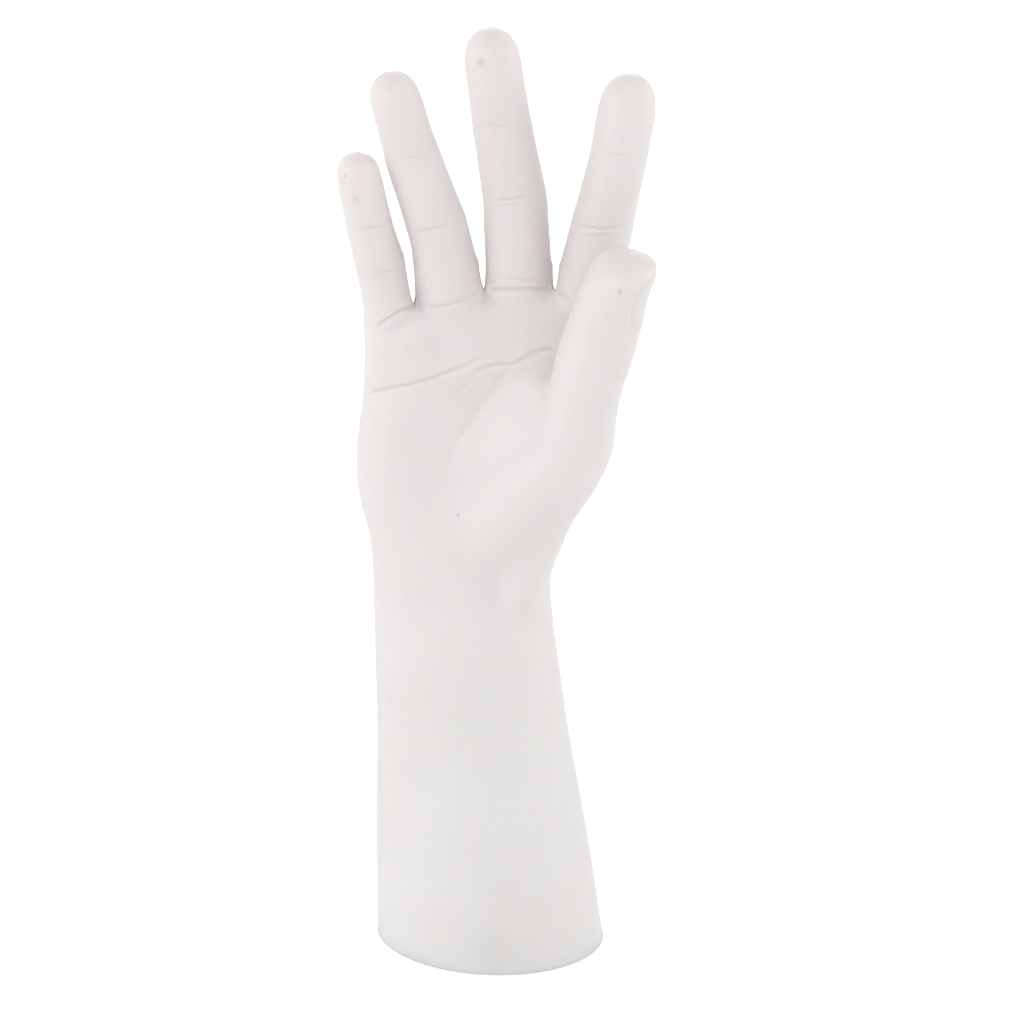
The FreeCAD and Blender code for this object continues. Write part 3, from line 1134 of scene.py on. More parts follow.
class Skin:
    """The hand's skin, carved in code.

    Attributes:
        hand: the object whose mesh it is, in millimetres.
        view: the camera that places the photograph's pixels.
        places: every point's place.
        normals: every point's outward direction.
        surface: the skin as rays meet it.
        far: where rays towards the back of the hand start, in millimetres from the middle plane.
        line_reach: how far from a line the skin is changed, as a multiple of the line's width.
        lip_place: where the skin beside a line stands up, as a multiple of that width.
        lip_width: how widely it does, as a multiple of that width.
        shade_width: how widely the shade painted along a line reaches, as a multiple of that width.
        turned_away: the cosine of the skin's turn from a swell's own direction, below which it rises less.
    """

    far = 200.0
    line_reach = 3.6
    lip_place = 1.9
    lip_width = 0.8
    shade_width = 0.8
    turned_away = 0.4

    def __init__(self, hand: bpy.types.Object, view: PhotoView) -> None:
        """Reads the skin.

        Args:
            hand: the object whose mesh it is.
            view: the camera that places the photograph's pixels.
        """
        self.hand = hand
        self.view = view
        self.read()

    def read(self) -> None:
        """Reads the places and normals, and prepares the skin to be looked at."""
        mesh = self.hand.data
        self.places = points_of(mesh)
        values = np.empty(self.places.size, dtype=np.float32)
        mesh.vertex_normals.foreach_get("vector", values)
        self.normals = values.reshape(-1, 3).astype(float)
        faces = [polygon.vertices[:] for polygon in mesh.polygons]
        self.surface = BVHTree.FromPolygons(self.places.tolist(), faces)

    def write(self) -> None:
        """Puts the changed places back into the mesh."""
        self.hand.data.vertices.foreach_set("co", self.places.astype(np.float32).ravel())
        self.hand.data.update()

    def seen(self, pixel: Pixel) -> Vector | None:
        """Returns the place on the skin that the camera sees at that pixel, if it sees any."""
        return self.surface.ray_cast(self.view.eye, self.view.ray(pixel))[0]

    def touched(self, start: Vector, way: Vector) -> Vector | None:
        """Returns the place where a ray from start meets the skin, if it does."""
        return self.surface.ray_cast(start, way)[0]

    def behind(self, across: float, height: float, slant: float = 0.0) -> Vector | None:
        """Returns the place on the back of the hand at that width and height, seen at a slant in degrees."""
        way = Vector((math.sin(math.radians(slant)), -math.cos(math.radians(slant)), 0))
        return self.touched(Vector((across, 0, height)) - way * self.far, way)

    def route(self, places: Sequence[Vector | None]) -> np.ndarray | None:
        """Returns the smooth path through those places that were found."""
        found = [tuple(place) for place in places if place is not None]
        return curve_through(np.array(found)) if len(found) > 1 else None

    def near(self, path: np.ndarray, reach: float) -> tuple[np.ndarray, np.ndarray, np.ndarray]:
        """Finds the points near a path.

        Args:
            path: the path's points.
            reach: how far from the path to look, in millimetres.

        Returns:
            The points' numbers, their distances from the path, and their shares of the way along it.
        """
        low, high = path.min(axis=0) - reach, path.max(axis=0) + reach
        numbers = np.flatnonzero(((self.places > low) & (self.places < high)).all(axis=1))
        places = self.places[numbers]
        gaps = np.full(len(numbers), np.inf)
        shares = np.zeros(len(numbers))
        lengths = np.linalg.norm(np.diff(path, axis=0), axis=1)
        gone = np.concatenate([[0], np.cumsum(lengths)])
        for number, (start, end) in enumerate(zip(path, path[1:])):
            gap, share = beside(places, start, end)
            closer = gap < gaps
            gaps[closer] = gap[closer]
            way = (gone[number] + share * lengths[number]) / max(gone[-1], LEAST_LENGTH)
            shares[closer] = way[closer]
        kept = gaps < reach
        return numbers[kept], gaps[kept], shares[kept]

    def carve(self, line: Line, path: np.ndarray, shade_amounts: np.ndarray) -> None:
        """Carves or raises a line along its path, and paints shade along it.

        Args:
            line: the line's width, depth, fade and painted shade.
            path: where it runs.
            shade_amounts: the painted shade of every point, which is added to.
        """
        numbers, gaps, shares = self.near(path, line.width * self.line_reach)
        strength = np.ones(len(numbers))
        for share, fade in ((shares, line.fade[0]), (1 - shares, line.fade[1])):
            strength *= smooth_share(share / fade)
        lips = bell(gaps / line.width - self.lip_place, self.lip_width)
        shift = (line.lip * lips - bell(gaps, line.width)) * line.depth * strength
        self.places[numbers] += self.normals[numbers] * shift[:, None]
        # Shade painted along the line, darkest at its middle, where the crease would be shaded.
        tone = bell(gaps, line.width * self.shade_width) * strength * line.tone
        shade_amounts[numbers] = np.maximum(shade_amounts[numbers], tone)

    def swell(self, place: Vector | None, radius: float, height: float) -> None:
        """Raises the skin softly round a place.

        Args:
            place: the place, if it was found.
            radius: how far the rise reaches, in millimetres.
            height: how high it is, in millimetres. A negative height hollows the skin.
        """
        if place is None:
            return
        gaps = np.linalg.norm(self.places - np.array(place), axis=1)
        facing = self.normals @ self.normals[int(np.argmin(gaps))]
        shift = height * bell(gaps, radius) * smooth_share(facing / self.turned_away)
        self.places += self.normals * shift[:, None]

    def refine(self, paths: Sequence[np.ndarray], reach: float) -> None:
        """Divides the faces near some paths, and smooths what that leaves angular.

        Args:
            paths: the paths.
            reach: how far from them, in millimetres.
        """
        chosen = np.zeros(len(self.places), dtype=bool)
        for path in paths:
            chosen[self.near(path, reach)[0]] = True
        select_only(self.hand)
        bpy.ops.object.mode_set(mode="EDIT")
        bpy.ops.mesh.select_mode(type="VERT")
        bpy.ops.mesh.select_all(action="DESELECT")
        edit = bmesh.from_edit_mesh(self.hand.data)
        edit.verts.ensure_lookup_table()
        for number in np.flatnonzero(chosen):
            edit.verts[number].select = True
        edit.select_flush(True)
        bmesh.update_edit_mesh(self.hand.data)
        bpy.ops.mesh.select_mode(type="FACE")
        bpy.ops.mesh.subdivide(number_cuts=1)
        bpy.ops.mesh.vertices_smooth(factor=0.5, repeat=2)
        bpy.ops.object.mode_set(mode="OBJECT")
        self.read()


@dataclass(frozen=True)
class NailSizes:
    """A moulded nail.

    Attributes:
        half_width: its half-width, half_length and place from_tip are shares of its digit's width.
        squareness: its outline's.
        groove: the depth of the groove round it, in millimetres as everything below is.
        fold: the height of the fold beyond the groove, and fold_gap, how far beyond.
        plate_rise: how far the plate rises towards its free edge, and plate_sink, how deep it starts.
        plate_start: where the rise starts and over how much it grows, as shares of the nail's half-length.
        edge_drop: the drop beyond the free edge, and edge_gap, how far beyond.
        edge_start: where the free edge sets in and over how much, as shares of the nail's half-length.
        edge_end: where it ends to either side and over how much, as shares of the nail's half-width.
        line_width: the width of the shade painted round it, in its groove.
        tone: how dark that painted shade is, from 0 to 1.
    """

    half_width: float = 0.36
    half_length: float = 0.37
    from_tip: float = 0.52
    squareness: float = 2.9
    groove: float = 0.30
    groove_width: float = 0.42
    fold: float = 0.26
    fold_gap: float = 0.85
    fold_width: float = 0.65
    plate_rise: float = 0.32
    plate_sink: float = 0.12
    plate_blend: float = 0.7
    plate_start: tuple[float, float] = (-0.5, 1.6)
    edge_drop: float = 0.34
    edge_gap: float = 0.55
    edge_width: float = 0.6
    edge_start: tuple[float, float] = (0.45, 0.35)
    edge_end: tuple[float, float] = (1.25, 0.5)
    line_width: float = 0.35
    tone: float = 0.5


class Nail:
    """The nail on the back of a digit's last bone.

    Attributes:
        digit: the digit that carries it.
        sizes: its sizes.
        arc_centre: how far on the palm's side of the middle line the nail's arc has its centre.
        outline_steps: how many steps its outline has.
        outward_share: the cosine by which the skin has to face away from that centre to be the nail's.
    """

    arc_centre = 2.0
    outline_steps = 32
    outward_share = 0.6

    def __init__(self, digit: Digit, sizes: NailSizes) -> None:
        """Places the nail's middle.

        Args:
            digit: the digit that carries it.
            sizes: its sizes.
        """
        self.digit = digit
        self.sizes = sizes
        width = digit.sizes.width
        self.way = digit.ways[-1]
        self.across, self.back = digit.ring(len(digit.ways) - 1, 0.5, 1, 1, 1).axes()
        self.middle = digit.joints[-1] - self.way * (sizes.from_tip * width) - self.back * self.arc_centre
        self.arc = width * digit.sizes.back_share + self.arc_centre
        self.half_width = sizes.half_width * width
        self.half_length = sizes.half_length * width

    def flat(self, places: np.ndarray, normals: np.ndarray) -> tuple[np.ndarray, np.ndarray, np.ndarray]:
        """Lays the skin round the nail out flat.

        Args:
            places: the skin's points, one to a row.
            normals: their outward directions.

        Returns:
            The numbers of the points by the nail, and their distances across and along it.
        """
        reach = places - np.array(self.middle)
        sideways, rise = reach @ np.array(self.across), reach @ np.array(self.back)
        across, along = np.arctan2(sideways, rise) * self.arc, reach @ np.array(self.way)
        near = (np.abs(across) < 2 * self.half_width) & (np.abs(along) < 2 * self.half_length)
        near &= (rise > 0) & (np.hypot(sideways, rise) < self.arc + self.arc_centre)
        outward = sideways * (normals @ np.array(self.across)) + rise * (normals @ np.array(self.back))
        near &= outward > self.outward_share * np.hypot(sideways, rise)
        numbers = np.flatnonzero(near)
        return numbers, across[numbers], along[numbers]

    def outline(self, skin: Skin) -> np.ndarray | None:
        """Lays the nail's outline on the skin.

        Args:
            skin: the skin.

        Returns:
            The outline as a path, if the skin was met.
        """
        squareness = self.sizes.squareness
        places = []
        for step in range(self.outline_steps + 1):
            turn = math.tau * step / self.outline_steps
            sideways = rounded(math.cos(turn), squareness) * self.half_width / self.arc
            along = rounded(math.sin(turn), squareness) * self.half_length
            ray = self.back * math.cos(sideways) + self.across * math.sin(sideways)
            start = self.middle + self.way * along
            places.append(skin.touched(start + ray * self.digit.sizes.width, -ray))
        return skin.route(places)

    def press(self, skin: Skin, shade_amounts: np.ndarray) -> None:
        """Shapes the nail's plate, its free edge and the folds round it, and paints shade round it.

        Args:
            skin: the skin that it is pressed into.
            shade_amounts: the painted shade of every point, which is added to.
        """
        size = self.sizes
        numbers, across, along = self.flat(skin.places, skin.normals)
        u, v = across / self.half_width, along / self.half_length
        beyond = (np.abs(u) ** size.squareness + np.abs(v) ** size.squareness) ** (1 / size.squareness) - 1
        beyond *= self.half_width
        tipward = smooth_share((v - size.edge_start[0]) / size.edge_start[1])
        tipward *= smooth_share((size.edge_end[0] - np.abs(u)) / size.edge_end[1])
        thickened = smooth_share((v - size.plate_start[0]) / size.plate_start[1])
        inside = smooth_share(-beyond / size.plate_blend)
        rise = inside * (size.plate_rise * thickened - size.plate_sink)
        rise -= size.groove * bell(beyond, size.groove_width) * (1 - tipward)
        rise += size.fold * bell(beyond - size.fold_gap, size.fold_width) * (1 - tipward)
        rise -= size.edge_drop * bell(beyond - size.edge_gap, size.edge_width) * tipward
        skin.places[numbers] += skin.normals[numbers] * rise[:, None]
        # Shade painted in the groove round the nail.
        shade_amounts[numbers] = np.maximum(shade_amounts[numbers], size.tone * bell(beyond, size.line_width))


# Wrinkles on the backs of the joints: millimetres along the finger from the joint, half the arc in degrees,
# how far the line bows towards the tip, and its depth.
MIDDLE_JOINT_WRINKLES = (
    (-4.2, 36, -1.3, 0.16), (-2.4, 46, -0.9, 0.26), (-0.8, 52, -0.4, 0.34),
    (0.8, 50, 0.4, 0.32), (2.3, 44, 0.9, 0.24), (4.0, 34, 1.3, 0.15),
)
LAST_JOINT_WRINKLES = ((-1.8, 36, -0.6, 0.16), (-0.3, 46, 0.0, 0.26), (1.2, 40, 0.5, 0.20))
THUMB_WRINKLE_SHARE = 0.6
# The joint wrinkles have shade painted along them.
WRINKLE = Line("joint_wrinkle", width=0.5, lip=0.25, fade=(0.45, 0.45), tone=0.3)

# The straightening tendons on the back: where each starts beside the wrist's middle, from the index finger's
# on, and the shares of the way to its knuckle at which it is laid on the skin.
TENDON = Line("back_tendon", width=2.0, depth=-0.95, lip=0.0, fade=(0.45, 0.2), tone=0)
TENDON_STARTS = (7.0, 2.5, -2.5, -8.0)
TENDON_SHARES = (-0.06, 0.14, 0.36, 0.58, 0.80, 1.0)

# The veins on the back: their places towards the thumb at these heights.
VEIN = Line("back_vein", width=1.4, depth=-0.42, lip=0.0, fade=(0.4, 0.4), tone=0)
VEIN_HEIGHTS = (104, 122, 138, 154, 172)
VEIN_PLACES = ((-19, -12, -7, -4, -3), (-22, -24, -22, -19, -17), (6, 12, 14, 18, 24))

FINGER_NAIL = NailSizes()
THUMB_NAIL = NailSizes(groove=0.2, fold=0.1, plate_rise=0.12, edge_drop=0.2, tone=0.25)
LaidLine = tuple[Line, np.ndarray | None]


class Sculptor:
    """Carves the hand's lines, joints, tendons and nails into its skin.

    Attributes:
        model: the hand's masses, which place the joints.
        skin: the skin that is carved.
        nails: the five nails.
        first_reach: how far from the fine lines the skin is divided, and second_reach, divided once more.
        fine_width: half the width, in millimetres, below which a line is fine.
        wrinkle_steps: how many steps a wrinkle takes to either side.
        wrinkle_reach: where the rays towards a joint start, as a share of the digit's width.
    """

    first_reach = 2.3
    second_reach = 1.15
    fine_width = 1.8
    wrinkle_steps = 4
    wrinkle_reach = 0.8

    def __init__(self, model: HandModel, skin: Skin) -> None:
        """Places the nails.

        Args:
            model: the hand's masses.
            skin: the skin that is carved.
        """
        self.model = model
        self.skin = skin
        self.nails = [Nail(digit, FINGER_NAIL) for digit in model.fingers] + [Nail(model.thumb, THUMB_NAIL)]

    def joint_line(
        self, digit: Digit, joint: int, wrinkle: Sequence[float], strength: float = 1.0,
    ) -> LaidLine:
        """Lays a wrinkle round the back of a joint.

        Args:
            digit: the finger or thumb.
            joint: the number of the joint, from 1.
            wrinkle: its place along the finger, half its arc, its bow and its depth.
            strength: the share of the depth that it is carved to.

        Returns:
            The wrinkle and its path on the skin.
        """
        along, half_arc, bow, depth = wrinkle
        way = (digit.ways[joint - 1] + digit.ways[joint]).normalized()
        across, back = Ring(digit.joints[joint], way, 1, 1, 1, digit.sizes.roll).axes()
        places = []
        for step in range(-self.wrinkle_steps, self.wrinkle_steps + 1):
            share = step / self.wrinkle_steps
            turn = math.radians(share * half_arc)
            ray = back * math.cos(turn) + across * math.sin(turn)
            start = digit.joints[joint] + way * (along + bow * (1 - share * share))
            outside = start + ray * digit.sizes.width * self.wrinkle_reach
            places.append(self.skin.touched(outside, -ray))
        return replace(WRINKLE, depth=depth * strength), self.skin.route(places)

    def joint_lines(self) -> list[LaidLine]:
        """Lays the wrinkles on the backs of all the joints."""
        lines = []
        for finger in self.model.fingers:
            lines += [self.joint_line(finger, 1, wrinkle) for wrinkle in MIDDLE_JOINT_WRINKLES]
            lines += [self.joint_line(finger, 2, wrinkle) for wrinkle in LAST_JOINT_WRINKLES]
        for wrinkle in MIDDLE_JOINT_WRINKLES:
            lines.append(self.joint_line(self.model.thumb, 1, wrinkle, THUMB_WRINKLE_SHARE))
        return lines

    def back_lines(self) -> list[LaidLine]:
        """Lays the straightening tendons and the veins on the back of the hand."""
        skin, wrist = self.skin, self.model.arm.sizes.wrist
        lines = []
        for finger, aside in zip(self.model.fingers, TENDON_STARTS):
            knuckle = finger.joints[0]
            lines.append((TENDON, skin.route([
                skin.behind(blend(wrist.x + aside, knuckle.x, share), blend(wrist.z, knuckle.z, share))
                for share in TENDON_SHARES
            ])))
        for places in VEIN_PLACES:
            lines.append((VEIN, skin.route([skin.behind(*place) for place in zip(places, VEIN_HEIGHTS)])))
        return lines

    def raise_back(self, form: BackSwell, joint: Vector) -> None:
        """Raises or hollows the back of the hand beside a joint."""
        place = self.skin.behind(joint.x + form.aside, joint.z + form.up, form.slant)
        self.skin.swell(place, form.radius, form.height)

    def broad_forms(self) -> None:
        """Raises and hollows the palm and the back of the hand, before anything fine is carved."""
        skin = self.skin
        for swell in PALM_SWELLS:
            skin.swell(skin.seen(swell.pixel), swell.radius, swell.height)
        self.raise_back(WRIST_BONE, self.model.arm.sizes.wrist)
        knuckles = [finger.joints[0] for finger in self.model.fingers]
        for knuckle in knuckles:
            self.raise_back(KNUCKLE_HEAD, knuckle)
        for first, second in zip(knuckles, knuckles[1:]):
            for form in (KNUCKLE_GAP, HAND_HOLLOW):
                self.raise_back(form, (first + second) / 2)
        skin.write()
        skin.read()

    def sculpt(self) -> None:
        """Carves everything, and keeps in two attributes how much shade is painted at each point and how dark
        its pinholes are.
        """
        self.broad_forms()
        skin = self.skin
        lines = [(line, skin.route([skin.seen(pixel) for pixel in line.pixels]))
                 for line in PALM_LINES + FINGER_LINES + WRIST_LINES]
        lines += self.joint_lines() + self.back_lines()
        for line, path in lines:
            if path is None:
                log.warning("%s: nowhere on the skin", line.name)
        lines = [(line, path) for line, path in lines if path is not None]
        specks = [(speck, skin.seen(speck.pixel)) for speck in SPECKS]
        outlines = [nail.outline(skin) for nail in self.nails]
        fine = [path for line, path in lines if line.width < self.fine_width]
        fine += [outline for outline in outlines if outline is not None]
        fine += [np.array([place, place]) for _, place in specks]
        for reach in (self.first_reach, self.second_reach):
            skin.refine(fine, reach)
        marks = {mark: np.zeros(len(skin.places)) for mark in Mark}
        for line, path in lines:
            skin.carve(line, path, marks[Mark.CREASE])
        for nail in self.nails:
            nail.press(skin, marks[Mark.CREASE])
        for speck, place in specks:
            gaps = np.linalg.norm(skin.places - np.array(place), axis=1)
            marks[Mark.SPECK] = np.maximum(marks[Mark.SPECK], bell(gaps, speck.radius) * speck.strength)
        skin.places -= skin.normals * (marks[Mark.SPECK] * SPECK_DEPTH)[:, None]
        skin.write()
        for mark, values in marks.items():
            attribute = skin.hand.data.attributes.new(mark.value, "FLOAT", "POINT")
            attribute.data.foreach_set("value", values.astype(np.float32))
        log.info("carved skin: %d lines, %d faces", len(lines), len(skin.hand.data.polygons))


@dataclass(frozen=True)
class FootSizes:
    """The moulding's open lower end, in millimetres, as the plate that closes it needs it.

    Attributes:
        wall: the moulding's wall, which the hollow leaves.
        mouth_lip: the wall beside the plate's rebate.
        mouth_depth: how deep the rebate is.
        edge_round: the radius of the rim's outer edge.
        round_middle: the round's middle point, inwards and upwards, as shares of its radius.
        hollow_steps: the heights at which the hollow's sections are laid.
    """

    wall: float = 2.5
    mouth_lip: float = 1.5
    mouth_depth: float = 4.0
    edge_round: float = 0.5
    round_middle: tuple[float, float] = (0.12, 0.35)
    hollow_steps: tuple[float, ...] = (12.0, 30.0, 50.0, 70.0, 90.0)


class Foot:
    """The flat rim on which the hand stands, and the hollow above it.

    Attributes:
        hand: the hand's object, in millimetres.
        arm: the forearm, whose sections the hollow follows.
        sizes: the rim's sizes.
    """

    def __init__(self, hand: bpy.types.Object, arm: Arm, sizes: FootSizes) -> None:
        """Keeps what it works on.

        Args:
            hand: the hand's object.
            arm: the forearm.
            sizes: the rim's sizes.
        """
        self.hand = hand
        self.arm = arm
        self.sizes = sizes

    def extrude_to(self, inset: float, height: float) -> None:
        """Extrudes the selected loop to the forearm's outline.

        Args:
            inset: how far inside the outline, in millimetres.
            height: at which height, in millimetres.
        """
        bpy.ops.mesh.extrude_edges_move()
        edit = bmesh.from_edit_mesh(self.hand.data)
        share = height / self.arm.sizes.forearm_length
        columns = list(zip(*FOREARM_SHARES))
        shares = [float(np.interp(share, columns[0], column)) for column in columns]
        ring = self.arm.forearm_ring(shares, inset)
        across, back = ring.axes()
        for vertex in edit.verts:
            if vertex.select:
                reach = vertex.co - ring.centre
                turn = math.atan2(reach.dot(back) / ring.back, reach.dot(across) / ring.half_width)
                vertex.co = ring.point(turn)
        bmesh.update_edit_mesh(self.hand.data)

    def model(self) -> None:
        """Cuts the hand off flat, rounds the rim and turns it up into the hollow."""
        size = self.sizes
        select_only(self.hand)
        bpy.ops.object.mode_set(mode="EDIT")
        bpy.ops.mesh.select_mode(type="EDGE")
        bpy.ops.mesh.select_all(action="SELECT")
        bpy.ops.mesh.bisect(plane_co=UP * size.edge_round, plane_no=UP, use_fill=False, clear_inner=True)
        self.extrude_to(*(share * size.edge_round for share in size.round_middle))
        self.extrude_to(size.edge_round, 0)
        self.extrude_to(size.mouth_lip, 0)
        self.extrude_to(size.mouth_lip, size.mouth_depth)
        self.extrude_to(size.wall, size.mouth_depth)
        for height in size.hollow_steps:
            self.extrude_to(size.wall, height)
        bpy.ops.mesh.edge_face_add()
        bpy.ops.mesh.poke()
        bpy.ops.mesh.select_all(action="SELECT")
        bpy.ops.mesh.normals_make_consistent(inside=False)
        bpy.ops.object.mode_set(mode="OBJECT")


def linear(colour: str) -> tuple[float, float, float, float]:
    """Converts a colour.

    Args:
        colour: an sRGB hex value, such as "#E8E4E0".

    Returns:
        The linear colour, with full alpha.
    """
    channels = [int(colour[place:place + 2], 16) / 255 for place in (1, 3, 5)]
    parts = [c / 12.92 if c <= 0.04045 else ((c + 0.055) / 1.055) ** 2.4 for c in channels]
    return (*parts, 1.0)


def add_node(
    tree: bpy.types.NodeTree, kind: str, settings: dict[str, object] | None = None, **links: object,
) -> bpy.types.Node:
    """Adds a node, sets its properties, and fills its inputs with values or with other nodes' outputs.

    Args:
        tree: the node tree.
        kind: the node's type.
        settings: properties of the node itself.
        links: input names, with spaces as underscores, to a value or an output socket.

    Returns:
        The new node.
    """
    node = tree.nodes.new(kind)
    for name, value in (settings or {}).items():
        setattr(node, name, value)
    for name, value in links.items():
        socket = node.inputs[name.replace("_", " ")]
        if isinstance(value, bpy.types.NodeSocket):
            tree.links.new(value, socket)
        else:
            socket.default_value = value
    return node


class Finish:
    """A procedural material while it is built.

    Attributes:
        material: the material.
        tree: its node tree.
        shader: its surface shader.
    """

    def __init__(self, name: str) -> None:
        """Starts the material.

        Args:
            name: its name.
        """
        self.material = bpy.data.materials.new(name)
        self.material.use_nodes = True
        self.tree = self.material.node_tree
        self.shader = self.tree.nodes["Principled BSDF"]

    def noise(self, size_mm: float, **settings: float) -> bpy.types.NodeSocket:
        """Adds a noise through the object.

        Args:
            size_mm: the size of its features, in millimetres.
            settings: further inputs of the noise.

        Returns:
            How strong it is, about 0.5 on average.
        """
        place = add_node(self.tree, "ShaderNodeTexCoord").outputs["Object"]
        scale = 1 / (size_mm * MILLIMETRE)
        return add_node(self.tree, "ShaderNodeTexNoise", Vector=place, Scale=scale, **settings).outputs["Fac"]

    def mark(self, mark: Mark) -> bpy.types.NodeSocket:
        """Returns the strength of one of the skin's two darkenings, the painted crease shade and the
        pinholes.
        """
        return add_node(self.tree, "ShaderNodeAttribute", {"attribute_name": mark.value}).outputs["Fac"]

    def stretch(
        self, value: bpy.types.NodeSocket, source: tuple[float, float],
        target: tuple[float, float] = (0.0, 1.0),
    ) -> bpy.types.NodeSocket:
        """Maps a value from one range to another, and holds it within it.

        Args:
            value: the value.
            source: the range that it comes from.
            target: the range that it goes to.

        Returns:
            The mapped value.
        """
        ends = {"From_Min": source[0], "From_Max": source[1], "To_Min": target[0], "To_Max": target[1]}
        return add_node(self.tree, "ShaderNodeMapRange", Value=value, **ends).outputs["Result"]

    def blend_colours(self, colour: str, *layers: tuple[bpy.types.NodeSocket, str]) -> None:
        """Gives the surface its colour.

        Args:
            colour: the lowest layer's, as a hex value.
            layers: the share and the colour of each layer over it.
        """
        under = linear(colour)
        for share, over in layers:
            mix = add_node(self.tree, "ShaderNodeMix", {"data_type": "RGBA"}, Factor=share)
            if isinstance(under, bpy.types.NodeSocket):
                self.tree.links.new(under, mix.inputs[6])
            else:
                mix.inputs[6].default_value = under
            mix.inputs[7].default_value = linear(over)
            under = mix.outputs[2]
        self.tree.links.new(under, self.shader.inputs["Base Color"])

    def bump(self, *layers: tuple[bpy.types.NodeSocket, float, float]) -> None:
        """Gives the surface its relief.

        Args:
            layers: each layer's height, strength and depth in millimetres.
        """
        under = {}
        for height, strength, depth_mm in layers:
            sizes = {"Strength": strength, "Distance": depth_mm * MILLIMETRE}
            node = add_node(self.tree, "ShaderNodeBump", Height=height, **sizes, **under)
            under = {"Normal": node.outputs["Normal"]}
        self.tree.links.new(under["Normal"], self.shader.inputs["Normal"])


@dataclass(frozen=True)
class MouldedVinyl:
    """Soft PVC cast in a hollow mould, which gives a satin skin that lets a little light in.

    The grain is the fine mottle that the mould's sprayed face leaves. It is about half a millimetre in life,
    and is drawn a little coarser so that it shows. The clouding is the uneven thickness of the wall. A relief
    is its strength and its depth in millimetres.
    """

    name: str = "moulded_vinyl"
    colour: str = "#E7E3E3"
    cloud_colour: str = "#E5E0DF"
    # Shade painted in the creases, the joint wrinkles and the grooves round the nails.
    crease_shade_colour: str = "#D3C7BC"
    speck_colour: str = "#97928C"
    roughness: float = 0.44
    index: float = 1.53
    cloud_mm: float = 38.0
    cloud_range: tuple[float, float] = (0.38, 0.62)
    grain_mm: float = 0.9
    grain_range: tuple[float, float] = (0.3, 0.7)
    grain_gloss: tuple[float, float] = (-0.05, 0.06)
    grain_relief: tuple[float, float] = (0.12, 0.1)
    dimple_mm: float = 5.0
    dimple_relief: tuple[float, float] = (0.2, 0.25)
    depth_mm: float = 4.0
    depth_share: float = 0.6
    depth_by_colour: tuple[float, float, float] = (1.0, 0.50, 0.25)

    def make(self) -> bpy.types.Material:
        """Makes the material."""
        finish = Finish(self.name)
        cloud, dimple = finish.noise(self.cloud_mm, Detail=2.0), finish.noise(self.dimple_mm, Detail=1.0)
        grain = finish.noise(self.grain_mm, Detail=3.0)
        finish.blend_colours(
            self.colour,
            (finish.stretch(cloud, self.cloud_range), self.cloud_colour),
            # Painted shade in the creases and round the nails.
            (finish.mark(Mark.CREASE), self.crease_shade_colour),
            (finish.mark(Mark.SPECK), self.speck_colour),
        )
        low, high = (self.roughness + change for change in self.grain_gloss)
        gloss = finish.stretch(grain, self.grain_range, (low, high))
        shader = finish.shader
        finish.tree.links.new(gloss, shader.inputs["Roughness"])
        finish.bump((grain, *self.grain_relief), (dimple, *self.dimple_relief))
        shader.inputs["IOR"].default_value = self.index
        shader.inputs["Subsurface Weight"].default_value = self.depth_share
        shader.inputs["Subsurface Radius"].default_value = self.depth_by_colour
        shader.inputs["Subsurface Scale"].default_value = self.depth_mm * MILLIMETRE
        return finish.material


@dataclass(frozen=True)
class PlatePlastic:
    """Hard white polystyrene pressed from sheet, with a finely textured matt face."""

    name: str = "pressed_polystyrene"
    colour: str = "#DEDAD4"
    scuff_colour: str = "#C9C4BC"
    roughness: float = 0.58
    texture_mm: float = 1.1
    texture_relief: tuple[float, float] = (0.35, 0.2)
    scuff_mm: float = 14.0
    scuff_range: tuple[float, float] = (0.52, 0.72)

    def make(self) -> bpy.types.Material:
        """Makes the material."""
        finish = Finish(self.name)
        scuff = finish.noise(self.scuff_mm, Detail=6.0, Roughness=0.7)
        worn = finish.stretch(scuff, self.scuff_range)
        finish.blend_colours(self.colour, (worn, self.scuff_colour))
        finish.shader.inputs["Roughness"].default_value = self.roughness
        finish.bump((finish.noise(self.texture_mm, Detail=2.0), *self.texture_relief))
        return finish.material


@dataclass(frozen=True)
class Lamp:
    """A square soft lamp: its place in metres, its side and its power in watts."""

    name: str
    place: tuple[float, float, float]
    size: float
    power: float


LAMPS = (
    Lamp("left_lamp", (-0.75, -1.05, 0.45), 0.7, 3.9),
    Lamp("right_lamp", (1.2, 0.0, 0.5), 0.9, 4.0),
    Lamp("left_rim_lamp", (-1.1, 0.3, 0.5), 0.9, 1.8),
    Lamp("back_lamp", (0.0, 1.2, 0.9), 1.0, 4.0),
)


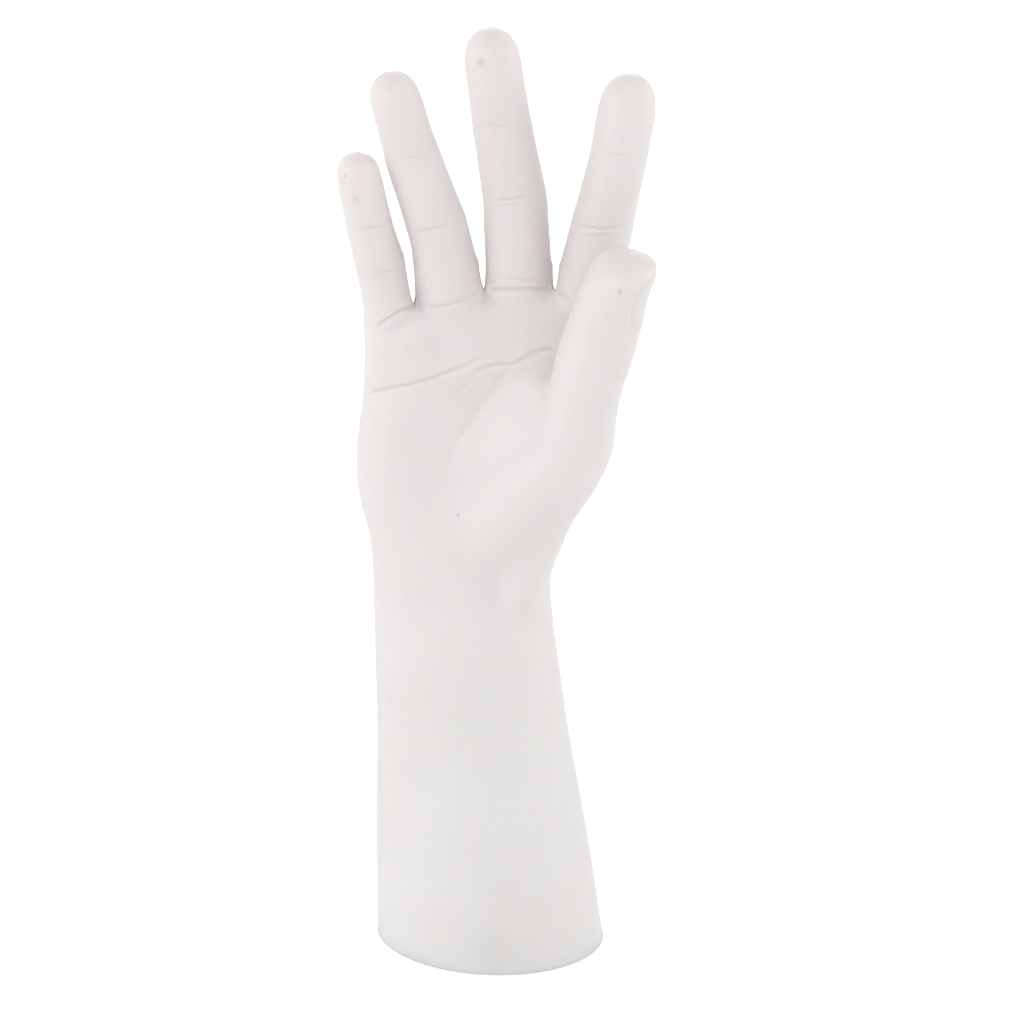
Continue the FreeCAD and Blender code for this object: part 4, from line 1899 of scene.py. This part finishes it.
class Studio:
    """The pale floor, the soft lamps and the camera.

    Attributes:
        view: the photograph's view.
        aim: where the lamps point, in metres.
        sky_strength: how strongly the sky lights the hand.
        floor_lift: how much brighter than lit the camera sees the floor.
    """

    aim = Vector((0, 0, 0.15))
    sky_strength = 0.76
    floor_size = 9.0
    floor_lift = 0.40
    floor_colour = "#F2F2F2"
    floor_roughness = 0.9
    white = "#FFFFFF"

    def __init__(self, view: PhotoView) -> None:
        """Keeps the camera's view."""
        self.view = view

    def floor(self) -> None:
        """Adds the white floor, which the camera sees bright but for the hand's shadow."""
        deselect_all()
        bpy.ops.mesh.primitive_plane_add(size=self.floor_size, location=(0, 0, 0))
        floor = bpy.context.object
        floor.name = "floor"
        finish = Finish("floor_white")
        camera_ray = add_node(finish.tree, "ShaderNodeLightPath").outputs["Is Camera Ray"]
        lift = finish.stretch(camera_ray, (0.0, 1.0), (0.0, self.floor_lift))
        finish.shader.inputs["Base Color"].default_value = linear(self.floor_colour)
        finish.shader.inputs["Roughness"].default_value = self.floor_roughness
        finish.shader.inputs["Emission Color"].default_value = linear(self.white)
        finish.tree.links.new(lift, finish.shader.inputs["Emission Strength"])
        floor.data.materials.append(finish.material)

    def lamp(self, lamp: Lamp) -> None:
        """Adds one lamp, aimed at the hand.

        Args:
            lamp: its place, size and power.
        """
        deselect_all()
        bpy.ops.object.light_add(type="AREA", location=lamp.place)
        light = bpy.context.object
        light.name = lamp.name
        light.data.size = lamp.size
        light.data.energy = lamp.power
        light.rotation_euler = (self.aim - Vector(lamp.place)).to_track_quat("-Z", "Y").to_euler()

    def sky(self) -> None:
        """Lights everything evenly, from a sky that the camera sees as white."""
        world = bpy.data.worlds.new("studio")
        world.use_nodes = True
        tree = world.node_tree
        even = tree.nodes["Background"]
        even.inputs["Color"].default_value = linear(self.white)
        even.inputs["Strength"].default_value = self.sky_strength
        seen = add_node(tree, "ShaderNodeBackground", Color=linear(self.white), Strength=1.0)
        camera_ray = add_node(tree, "ShaderNodeLightPath").outputs["Is Camera Ray"]
        mix = add_node(tree, "ShaderNodeMixShader", Fac=camera_ray)
        tree.links.new(even.outputs["Background"], mix.inputs[1])
        tree.links.new(seen.outputs["Background"], mix.inputs[2])
        tree.links.new(mix.outputs["Shader"], tree.nodes["World Output"].inputs["Surface"])
        bpy.context.scene.world = world

    def build(self) -> None:
        """Lights the hand softly from both sides and sets the camera."""
        bpy.context.scene.view_settings.view_transform = "Standard"
        self.sky()
        self.floor()
        for lamp in LAMPS:
            self.lamp(lamp)
        self.view.make_camera()


# The share of the carved skin's faces that is kept.
KEPT_FACES = 0.62


def build_hand(view: PhotoView) -> bpy.types.Object:
    """Models, carves and dresses the moulded hand, and thins its carved skin.

    Args:
        view: the camera that places what the photograph shows.

    Returns:
        The hand, in metres.
    """
    model = HandModel()
    hand = model.model(view)
    Sculptor(model, Skin(hand, view)).sculpt()
    apply_modifier(hand, "DECIMATE", ratio=KEPT_FACES)
    Foot(hand, model.arm, FootSizes()).model()
    hand.data.validate()
    select_only(hand)
    hand.scale = (MILLIMETRE,) * 3
    bpy.ops.object.transform_apply(location=False, rotation=False, scale=True)
    bpy.ops.object.shade_smooth()
    hand.data.materials.append(MouldedVinyl().make())
    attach(hand, "root")
    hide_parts("hand_shell")
    log.info("%s: %d faces", hand.name, len(hand.data.polygons))
    return hand


def dress_plate() -> None:
    """Gives the closing plate its finish."""
    plate = bpy.data.objects["base_plate"]
    material = PlatePlastic().make()
    for slot in plate.material_slots:
        slot.material = material
    log.info("%s: dressed", plate.name)


def main() -> None:
    """Builds the hand, dresses its plate and sets up the studio."""
    logging.basicConfig(level=logging.INFO, format="%(message)s")
    view = PhotoView()
    build_hand(view)
    dress_plate()
    Studio(view).build()


if __name__ == "__main__":
    main()
